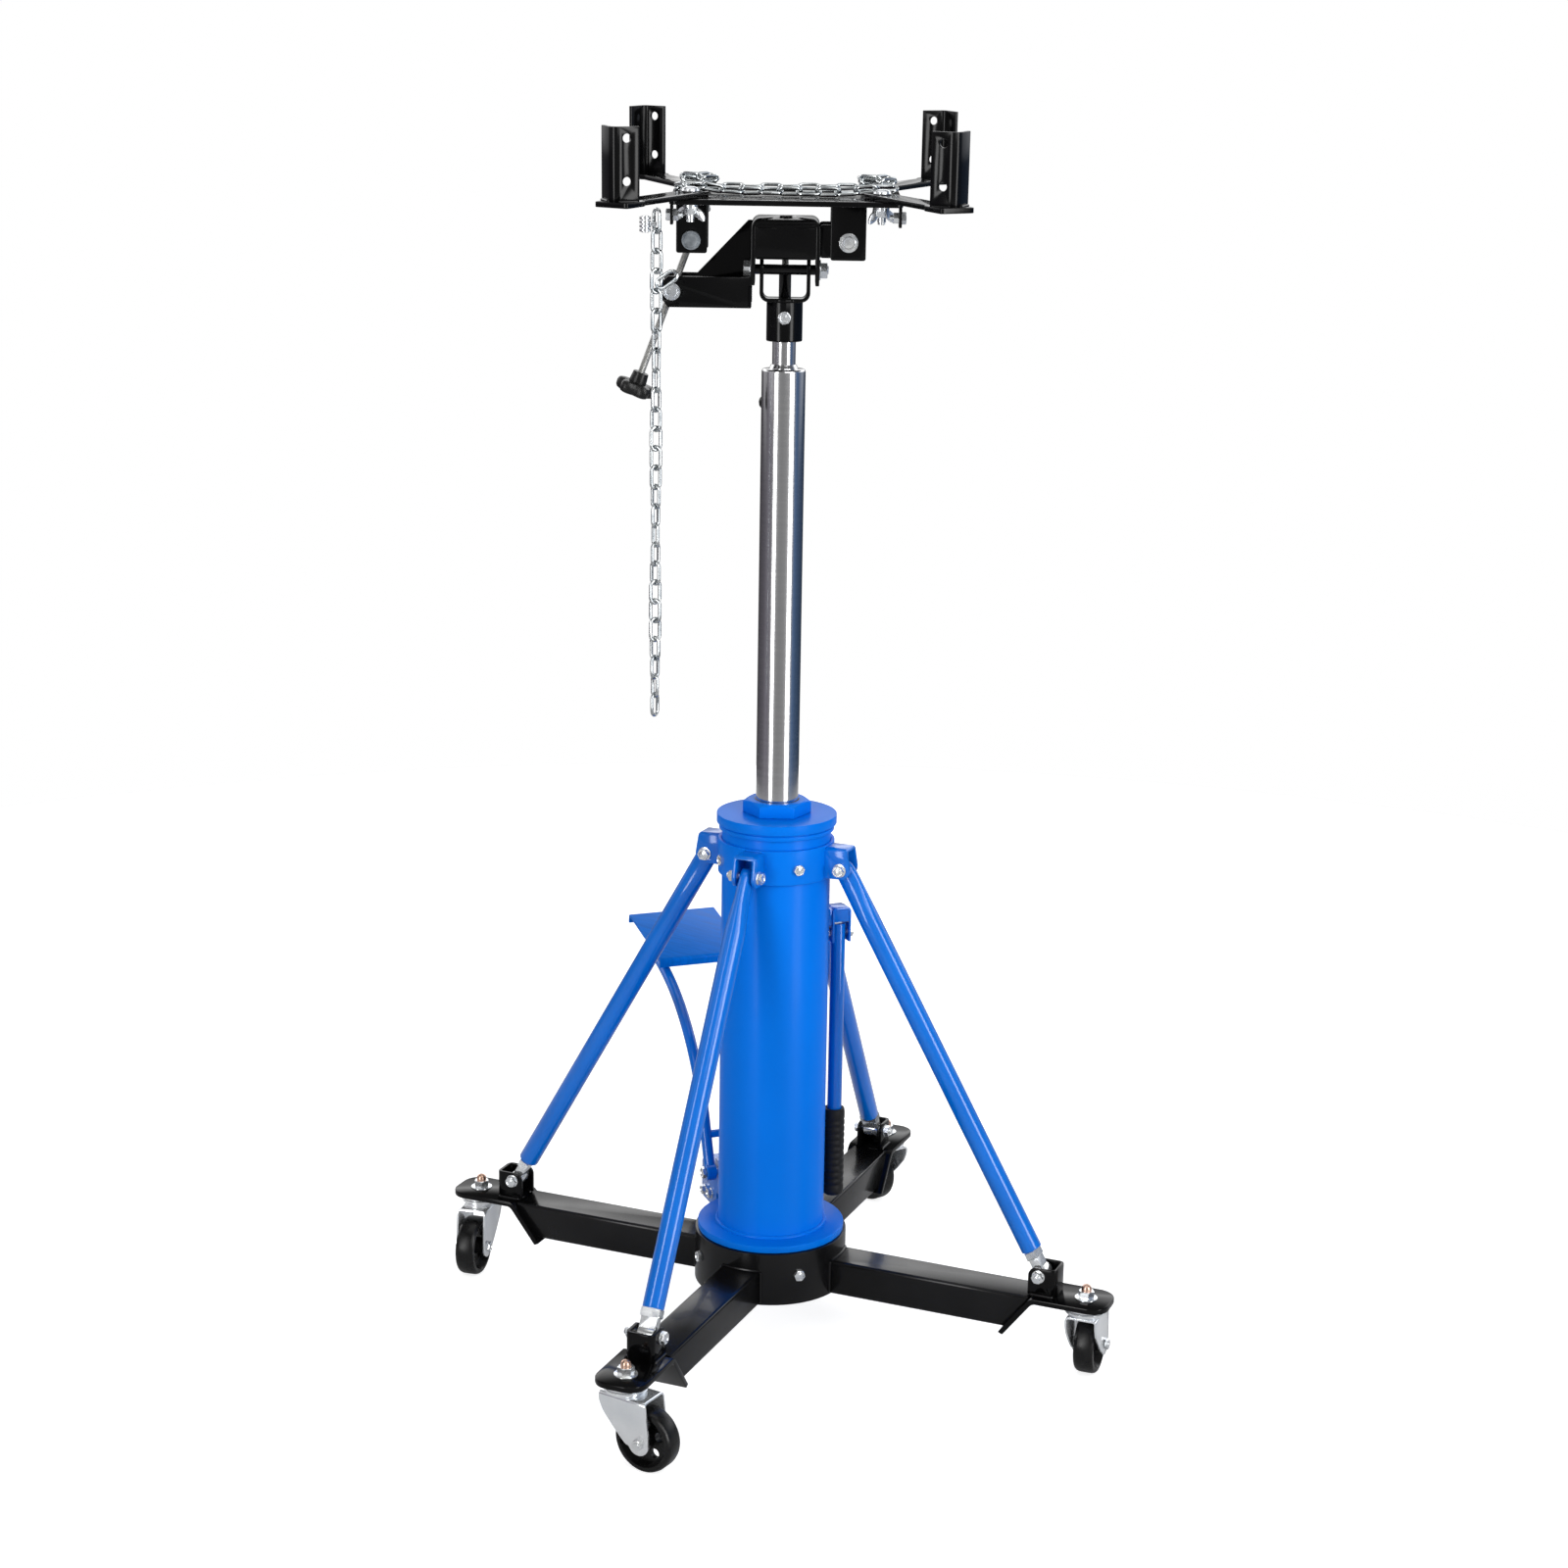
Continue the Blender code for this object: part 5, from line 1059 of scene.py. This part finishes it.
def build_pump():
    """The foot pump at the column's foot, with its lever and release valve."""
    outline = [(0.0663, 0.1363), (0.098, 0.1363), (0.098, 0.116), (0.102, 0.112), (0.151, 0.112),
               (0.155, 0.116), (0.155, 0.160), (0.140, 0.172), (0.108, 0.172), (0.104, 0.181), (0.081, 0.181),
               (0.0663, 0.172)]
    block = prism(rounded(outline, 0.002, 3), -0.037, 0.037, "y")
    pivot = PEDAL_PIVOT
    y = Vector((0, 1, 0))
    column = turned([(0, 0.10), (0.0660, 0.10), (0.0660, 0.20), (0, 0.20)], 96)
    cuts = [column, rod(pivot - y * 0.05, pivot + y * 0.05, 0.0054),
            rod((0.122, 0, 0.135), (0.122, 0, 0.20), 0.0085)]
    bosses = [rod((0.122, 0, 0.160), (0.122, 0, 0.1724), 0.0155, 40, 0.0006)]
    piece("pump_block", carved(block, add=bosses, cut=cuts, soften=0.0014), BLUE_GLOSS, "column", PUMP,
          ["pump_body"])
    plugs = []
    for x, z in ((0.118, 0.128), (0.142, 0.146), (0.142, 0.124)):
        for sign in (-1, 1):
            plugs += bolt_shapes((x, 0.0368 * sign, z), (0, sign, 0), 0.0110, 0.0045, 0.0070)
    piece("pump_plugs", merged(*plugs), ZINC, "column", PUMP)
    plunger = [(0, 0.1585), (0.0078, 0.1585), (0.0078, 0.1968), (0.0112, 0.1980), (0.0115, 0.1990),
               (0.0115, 0.2030), (0.0100, 0.2050), (0.0040, 0.2060), (0, 0.2062)]
    shape = turned(plunger, 40)
    shape.transform(Matrix.Translation((0.122, 0, 0)))
    piece("plunger_pin", shape, ZINC, "plunger", PUMP, ["pump_plunger"])
    pin = rod(pivot - y * 0.0555, pivot + y * 0.0555, 0.0050)
    shapes = bolt_shapes(pivot + y * 0.0554, y, 0.0130, 0.0040)
    shapes += nut_shapes(pivot - y * 0.0554, -y, 0.0130, 0.0040, 0.0, 0.0)
    piece("lever_pivot", merged(pin, *shapes), ZINC, "column", PUMP, ["lever_pin"])
    build_lever(pivot)
    stem = rod((0.1380, 0, 0.125), (0.166, 0, 0.125), 0.0045)
    head = rod((0.162, 0, 0.125), (0.171, 0, 0.125), 0.0080, 36, 0.0010)
    bar = rod((0.1665, -0.019, 0.125), (0.1665, 0.019, 0.125), 0.0030, 20, 0.0008)
    piece("valve_handle", merged(stem, head, bar), ZINC, "valve", PUMP, ["release_valve"])


def lever_points():
    """The middle line of a lever tube: straight foot, long bend, straight end."""
    start = Vector((0.117, 0, 0.233))
    steep, shallow = math.radians(67), math.radians(15)
    radius = 0.2604
    first = [PEDAL_PIVOT, Vector((0.1010, 0, 0.190)), Vector((0.1095, 0, 0.212)), start]
    centre = start + Vector((math.sin(steep), 0, -math.cos(steep))) * radius
    points = list(first)
    for i in range(1, 19):
        angle = steep + (shallow - steep) * i / 18
        points.append(centre + Vector((-math.sin(angle), 0, math.cos(angle))) * radius)
    points.append(points[-1] + Vector((math.cos(shallow), 0, math.sin(shallow))) * 0.055)
    return points


def build_lever(pivot):
    """Two bent tubes joined by a cross bar, with the tread on top."""
    y = Vector((0, 1, 0))
    tubes = []
    for sign in (-1, 1):
        offset = y * (0.048 * sign)
        tubes.append(swept([p + offset for p in lever_points()], 0.0070, 24))
        eye = rod(pivot + offset - y * 0.0062, pivot + offset + y * 0.0062, 0.0108, 32, 0.0008)
        tubes.append(eye)
    link = Vector((0.1095, 0, 0.212))
    tubes.append(rod(link - y * 0.048, link + y * 0.048, 0.0050, 24))
    bore = rod(pivot - y * 0.06, pivot + y * 0.06, 0.0053)
    shape = carved(tubes[0], add=tubes[1:], cut=[bore], soften=0)
    piece("lever_tubes", shape, BLUE_GLOSS, "pedal", PUMP, ["pedal_lever"], 40)
    near, far = Vector((0.262, 0, 0.400)), Vector((0.398, 0, 0.424))
    along = (far - near).normalized()
    up = Vector((-along.z, 0, along.x))
    length = (far - near).length
    wall, lip, bend = 0.0035, 0.0125, 0.004
    section = [(0, -lip), (0, -bend)] + arc((bend, -bend), bend, 180, 90, 5)[1:]
    section += arc((length - bend, -bend), bend, 90, 0, 5) + [(length, -lip), (length - wall, -lip)]
    section += arc((length - bend, -bend), bend - wall + 0.0002, 0, 90, 3)
    section += arc((bend, -bend), bend - wall + 0.0002, 90, 180, 3) + [(wall, -lip)]
    points = [near + along * u + up * v for u, v in section]
    tray = prism([(p.x, p.z) for p in points], -0.060, 0.060, "y")
    piece("tread_plate", softened(tray, 0.0006), TREAD, "pedal", PUMP, ["pedal_tread"])
    slope = math.tan(math.radians(15))
    top = lever_points()[-1] + Vector((-math.sin(math.radians(15)), 0, math.cos(math.radians(15)))) * 0.0066
    rib = [(0.292, top.z - slope * (top.x - 0.292)), (0.336, top.z - slope * (top.x - 0.336)),
           (0.336, 0.4105), (0.292, 0.4025)]
    ribs = [softened(prism(rib, s * 0.048 - 0.003, s * 0.048 + 0.003, "y"), 0.0005) for s in (-1, 1)]
    piece("tread_ribs", merged(*ribs), BLUE_GLOSS, "pedal", PUMP)


# Push handle


def build_handle():
    """The push handle on the column, with its bracket, bolt and rubber grip."""
    half, low, top = 0.0115, 0.490, 0.5335
    bend = 0.005
    section = [(0.0713, low), (0.0713, top - bend)] + arc((0.0713 + bend, top - bend), bend, 180, 90, 5)[1:]
    section += arc((0.0957 - bend, top - bend), bend, 90, 0, 5) + [(0.0957, low), (0.0932, low)]
    section += arc((0.0957 - bend, top - bend), bend - 0.0025, 0, 90, 4)
    section += arc((0.0713 + bend, top - bend), bend - 0.0025, 90, 180, 4) + [(0.0738, low)]
    strap = prism(section, -half, half, "y")
    hole = rod((0.05, 0, 0.5005), (0.12, 0, 0.5005), 0.0044)
    solid = box((0.0725, -half + 0.0008, 0.5157), (0.0945, half - 0.0008, top - 0.0010))
    spacer = box((0.0660, -half + 0.002, 0.512), (0.0715, half - 0.002, 0.5325))
    shape = carved(strap, add=[spacer, solid], cut=[hole], soften=0.0006)
    piece("handle_clevis", shape, BLUE_GLOSS, "column", HANDLE, ["handle_bracket"])
    z = 0.5005
    shapes = bolt_shapes((0.0958, 0, z), (1, 0, 0), 0.0130, 0.0045, 0.0075)
    shapes += [rod((0.0682, 0, z), (0.0960, 0, z), 0.0040), rod((0.0682, 0, z), (0.0712, 0, z), 0.0065)]
    piece("handle_pivot", merged(*shapes), ZINC, "column", HANDLE, ["handle_bolt"])
    tube = [(0, 0.1645), (0.0088, 0.1645), (0.0090, 0.1650), (0.0090, 0.5090), (0.0080, 0.5115), (0, 0.5115)]
    shape = turned(tube, 40)
    shape.transform(Matrix.Translation((0.0835, 0, 0)))
    hole = rod((0.05, 0, z), (0.12, 0, z), 0.0043)
    piece("handle_shaft", carved(shape, cut=[hole], soften=0), BLUE_GLOSS, "handle", HANDLE, ["handle_tube"],
          40)
    profile = [(0, 0.1580), (0.0105, 0.1580), (0.0128, 0.1600), (0.0133, 0.1625)]
    height = 0.170
    while height < 0.262:
        profile += [(0.0133, height), (0.0127, height + 0.0012), (0.0127, height + 0.0030),
                    (0.0133, height + 0.0042)]
        height += 0.0085
    profile += [(0.0133, 0.2665), (0.0125, 0.2715), (0.0105, 0.2720), (0.0094, 0.2712), (0.0093, 0.1640),
                (0, 0.1640)]
    shape = turned(profile, 48)
    shape.transform(Matrix.Translation((0.0835, 0, 0)))
    piece("handle_sleeve", shape, RUBBER, "handle", HANDLE, ["handle_grip"], 40)


# Chain


LINK_PITCH = 0.0220
LINK_WIRE = 0.0020
LINK_HALF = 0.0060


def chain_link(sides=10):
    """One link along Z, in the XZ plane, centred on the origin."""
    straight = LINK_PITCH / 2 + LINK_WIRE - LINK_HALF
    path = []
    for k in range(9):
        t = math.pi * k / 8
        path.append(Vector((LINK_HALF * math.cos(t), 0, straight + LINK_HALF * math.sin(t))))
    for k in range(9):
        t = math.pi + math.pi * k / 8
        path.append(Vector((LINK_HALF * math.cos(t), 0, -straight + LINK_HALF * math.sin(t))))
    rings = []
    count = len(path)
    for i, point in enumerate(path):
        along = (path[(i + 1) % count] - path[i - 1]).normalized()
        side = along.cross(Vector((0, 1, 0))).normalized()
        rings.append([point + side * (LINK_WIRE * math.cos(t)) + Vector((0, 1, 0)) * (LINK_WIRE * math.sin(t))
                      for t in (2 * math.pi * k / sides for k in range(sides))])
    return loft(rings, closed=True)


def chain_along(points, roll=0.0, wobble=0.0, flat=False):
    """Links laid one after another along a polyline, each turned a quarter from the last."""
    points = [Vector(p) for p in points]
    spans = [(b - a).length for a, b in zip(points, points[1:])]
    total = sum(spans)
    count = max(1, round(total / LINK_PITCH))

    def at(distance):
        distance = min(max(distance, 0.0), total)
        for a, b, span in zip(points, points[1:], spans):
            if distance <= span or b is points[-1]:
                return a.lerp(b, min(distance / span, 1.0) if span else 0.0)
            distance -= span
        return points[-1]

    links = []
    for i in range(count):
        low, high = at(total * i / count), at(total * (i + 1) / count)
        middle, along = (low + high) / 2, (high - low)
        turn = math.pi / 2 if i % 2 else 0.0
        if flat:
            turn = math.radians(24) if i % 2 else math.radians(-38)
        sway = wobble * math.sin(i * 2.4 + 0.7)
        link = chain_link()
        link.transform(aim(middle, along, roll + turn + sway))
        links.append(link)
    return links


def build_chains():
    """The loose chain at the left and the chain that lies over the saddle."""
    top = Vector((-0.1440, -0.070, 1.366))
    end = Vector((-0.1440, -0.070, 0.793))
    links = chain_along([top, end], roll=math.radians(44), wobble=0.30)
    piece("loose_chain", merged(*links), CHAIN_ZINC_PAINTED_SHADE, "chain", HEAD, ["chain_hanging"], 60)
    spine = [rod((-0.1610, -0.070, 1.3515), (-0.1440, -0.070, 1.3515), 0.0022),
             rod((-0.1570, -0.070, 1.3420), (-0.1570, -0.070, 1.3605), 0.0040)]
    for low in (1.3430, 1.3474, 1.3518, 1.3562):
        disc = turned(eased([(0, low), (0.0064, low), (0.0064, low + 0.0034), (0, low + 0.0034)], 0.0005, 2),
                      28)
        disc.transform(Matrix.Translation((-0.1570, -0.070, 0)))
        spine.append(disc)
    piece("chain_stud", merged(*spine), ZINC, "chain", HEAD)
    side_link = chain_link()
    lean = math.radians(35)
    side_link.transform(aim((-0.1325, -0.0715, 1.2905), (math.cos(lean), 0, math.sin(lean)), 1.2))
    piece("chain_side_link", side_link, CHAIN_ZINC_PAINTED_SHADE, "chain", HEAD)
    for name, side in (("left", -1), ("right", 1)):
        tab = prism(rounded([(-0.080, 0.0560), (-0.062, 0.0560), (-0.062, 0.0790), (-0.080, 0.0790)], 0.004,
                            4),
                    side * 0.1272 - 0.0016, side * 0.1272 + 0.0016, "x")
        piece(f"chain_tab_{name}", softened(tab, 0.0005), BLACK, "saddle", SADDLE)
        across = (side, 0, 0)
        shapes = bolt_shapes((side * 0.1288, -0.071, 0.0665), across, 0.0120, 0.0050, roll=0.3)
        shapes += nut_shapes((side * 0.1256, -0.071, 0.0665), (-side, 0, 0), 0.0120, 0.0062, stub=0.004,
                             roll=0.1)
        piece(f"chain_bolt_{name}", merged(*shapes), ZINC, "saddle", SADDLE)
    level, over_arm = 0.0912, 0.0962
    route = [(0.122, 0.004, level), (0.090, 0.010, level), (0.050, 0.004, level), (0.0, 0.003, level),
             (-0.060, 0.004, level), (-0.104, 0.006, level), (-0.118, -0.004, level), (-0.122, -0.018, level),
             (-0.116, -0.036, 0.0940), (-0.104, -0.042, over_arm), (-0.090, -0.042, over_arm),
             (-0.076, -0.040, 0.0925), (-0.050, -0.040, level), (0.0, -0.038, level), (0.060, -0.040, level),
             (0.080, -0.041, 0.0930), (0.104, -0.042, over_arm), (0.122, -0.040, over_arm)]
    links = chain_along(route, flat=True, wobble=0.12)
    for x in (-1, 1):
        for turns, size, level in ((0.0, 0.0200, 0.0963), (0.5, 0.0145, 0.0993)):
            ring = [(x * 0.1020 + size * math.cos(t), 0.036 + size * math.sin(t) * 0.85, level)
                    for t in (2 * math.pi * (k + turns) / 12 for k in range(13))]
            links += chain_along(ring, flat=True, wobble=0.4)
    piece("saddle_chain_links", merged(*links), CHAIN_ZINC_PAINTED_SHADE, "saddle", SADDLE, ["chain_saddle"], 60)


# Studio


def stage_and_light():
    """A pale floor that looks white to the camera, the sky and four lamps."""
    scene = bpy.context.scene
    scene.view_settings.view_transform = "Standard"
    camera_data = bpy.data.cameras.new("camera")
    camera_data.sensor_width = 36
    camera_data.lens = 62.15
    camera = bpy.data.objects.new("camera", camera_data)
    right = Vector((0.9216, 0.3878, 0.0156))
    up = Vector((-0.1067, 0.2145, 0.9709))
    right.normalize()
    back = right.cross(up).normalized()
    up = back.cross(right)
    rotation = Matrix((right, up, back)).transposed()
    camera.matrix_world = Matrix.Translation((1.218, -2.905, 1.469)) @ rotation.to_4x4()
    scene.collection.objects.link(camera)
    scene.camera = camera
    floor_shape = turned([(0, 0.0), (3.0, 0.0), (3.0, -0.02), (0, -0.02)], 96)
    mesh = bpy.data.meshes.new("studio_floor")
    floor_shape.to_mesh(mesh)
    floor_shape.free()
    paper = bpy.data.materials.new("pale_floor")
    paper.use_nodes = True
    tree = paper.node_tree
    shader = tree.nodes["Principled BSDF"]
    shader.inputs["Base Color"].default_value = (0.60, 0.60, 0.60, 1)
    shader.inputs["Roughness"].default_value = 0.90
    shader.inputs["Specular IOR Level"].default_value = 0.0
    bright = add_node(tree, "Emission", {"Strength": 0.75})
    added = add_node(tree, "AddShader")
    link(tree, shader.outputs["BSDF"], added.inputs[0])
    link(tree, bright.outputs["Emission"], added.inputs[1])
    path = add_node(tree, "LightPath")
    chosen = add_node(tree, "MixShader")
    link(tree, path.outputs["Is Camera Ray"], chosen.inputs["Fac"])
    link(tree, shader.outputs["BSDF"], chosen.inputs[1])
    link(tree, added.outputs["Shader"], chosen.inputs[2])
    link(tree, chosen.outputs["Shader"], tree.nodes["Material Output"].inputs["Surface"])
    mesh.materials.append(paper)
    floor = bpy.data.objects.new("studio_floor", mesh)
    scene.collection.objects.link(floor)
    light_world(scene)
    area("key_light", (2.6, -2.2, 3.2), 2.4, 2.4, 40)
    area("fill_light", (-2.8, -2.6, 2.6), 2.2, 2.2, 5)
    area("top_light", (0.0, 0.3, 4.2), 3.2, 3.2, 30)
    area("rear_light", (-0.6, 3.4, 2.6), 2.6, 2.6, 26, glossy=False)


def area(name, at, width, height, power, glossy=True):
    """A rectangular lamp that points at the jack's middle."""
    data = bpy.data.lights.new(name, "AREA")
    data.shape = "RECTANGLE"
    data.size = width
    data.size_y = height
    data.energy = power
    made = bpy.data.objects.new(name, data)
    made.location = at
    made.rotation_euler = (Vector((0, 0, 0.7)) - Vector(at)).to_track_quat("-Z", "Y").to_euler()
    made.visible_glossy = glossy
    bpy.context.scene.collection.objects.link(made)


def ramp_node(tree, source, stops):
    """A colour ramp fed by the source. Each stop is a position, a grey and perhaps a tint."""
    ramp = add_node(tree, "ValToRGB")
    for stop in stops[1:-1]:
        ramp.color_ramp.elements.new(stop[0])
    for element, (position, value, *tint) in zip(ramp.color_ramp.elements, stops):
        element.position = position
        element.color = (*(value * share for share in (tint[0] if tint else (1, 1, 1))), 1)
    link(tree, source, ramp.inputs["Fac"])
    return ramp.outputs["Color"]


def math_node(tree, operation, first, second):
    """A Math node. Each operand is a socket or a number."""
    made = add_node(tree, "Math", operation=operation)
    for place, operand in zip(made.inputs, (first, second)):
        if isinstance(operand, (int, float)):
            place.default_value = operand
        else:
            link(tree, operand, place)
    return made.outputs["Value"]


def light_world(scene):
    """Pale surroundings with two tall bright panels, one to each side of the viewer."""
    world = bpy.data.worlds.new("studio_world")
    world.use_nodes = True
    scene.world = world
    tree = world.node_tree
    tree.nodes.clear()
    output = add_node(tree, "OutputWorld")
    where = add_node(tree, "TexCoord")
    split = add_node(tree, "SeparateXYZ")
    link(tree, where.outputs["Generated"], split.inputs["Vector"])
    # The viewer stands at -67 degrees. The ramp runs once round from the far side, by the viewer's left.
    azimuth = math_node(tree, "ARCTAN2", split.outputs["Y"], split.outputs["X"])
    shifted = math_node(tree, "ADD", azimuth, math.radians(67.25) + math.pi)
    wrapped = math_node(tree, "ADD", shifted, 2 * math.pi)
    wrapped = math_node(tree, "MODULO", wrapped, 2 * math.pi)
    around = math_node(tree, "DIVIDE", wrapped, 2 * math.pi)
    peak = 8.0
    warm, cool = (1.0, 0.94, 1.08), (0.55, 0.95, 1.75)
    stops = [(0.0, 0.04), (0.16, 0.10, warm), (0.24, 0.14, warm), (0.30, 0.24, warm), (0.34, 0.20, warm),
             (0.372, 0.45), (0.386, peak), (0.408, peak), (0.420, 0.50), (0.45, 0.32), (0.50, 0.30),
             (0.56, 0.34), (0.600, 0.50), (0.618, peak), (0.650, peak), (0.664, 0.45), (0.70, 0.20, cool),
             (0.76, 0.12, cool), (0.84, 0.08, cool), (1.0, 0.04)]
    walls = ramp_node(tree, around, [(position, value / peak, *tint) for position, value, *tint in stops])
    # A soft band of light, above the horizon on the far side, that level faces mirror to the viewer.
    behind = ramp_node(tree, around,
                       [(0.0, 1.0), (0.17, 1.0), (0.26, 0.0), (0.74, 0.0), (0.83, 1.0), (1.0, 1.0)])
    height = ramp_node(tree, split.outputs["Z"],
                       [(0.0, 0.0), (0.04, 0.15), (0.22, 0.35), (0.32, 1.0), (0.50, 1.0), (0.64, 0.0)])
    lit = add_node(tree, "Mix", data_type="RGBA", blend_type="ADD")
    lit.inputs["B"].default_value = (0.30, 0.30, 0.30, 1)
    link(tree, math_node(tree, "MULTIPLY", behind, height), lit.inputs["Factor"])
    link(tree, walls, lit.inputs["A"])
    overhead = add_node(tree, "MapRange", {"From Min": 0.35, "From Max": 0.80})
    link(tree, split.outputs["Z"], overhead.inputs["Value"])
    mix = add_node(tree, "Mix", data_type="RGBA")
    link(tree, overhead.outputs["Result"], mix.inputs["Factor"])
    link(tree, lit.outputs["Result"], mix.inputs["A"])
    mix.inputs["B"].default_value = (0.020, 0.020, 0.020, 1)
    studio = add_node(tree, "Background", {"Strength": peak})
    link(tree, mix.outputs["Result"], studio.inputs["Color"])
    plain = add_node(tree, "Background", {"Color": (1, 1, 1, 1), "Strength": 1.0})
    path = add_node(tree, "LightPath")
    chosen = add_node(tree, "MixShader")
    link(tree, path.outputs["Is Camera Ray"], chosen.inputs["Fac"])
    link(tree, studio.outputs["Background"], chosen.inputs[1])
    link(tree, plain.outputs["Background"], chosen.inputs[2])
    link(tree, chosen.outputs["Shader"], output.inputs["Surface"])


build_base()
build_column()
build_rams()
build_head()
build_bracket()
build_saddle()
build_screws()
build_pump()
build_handle()
build_chains()
stage_and_light()
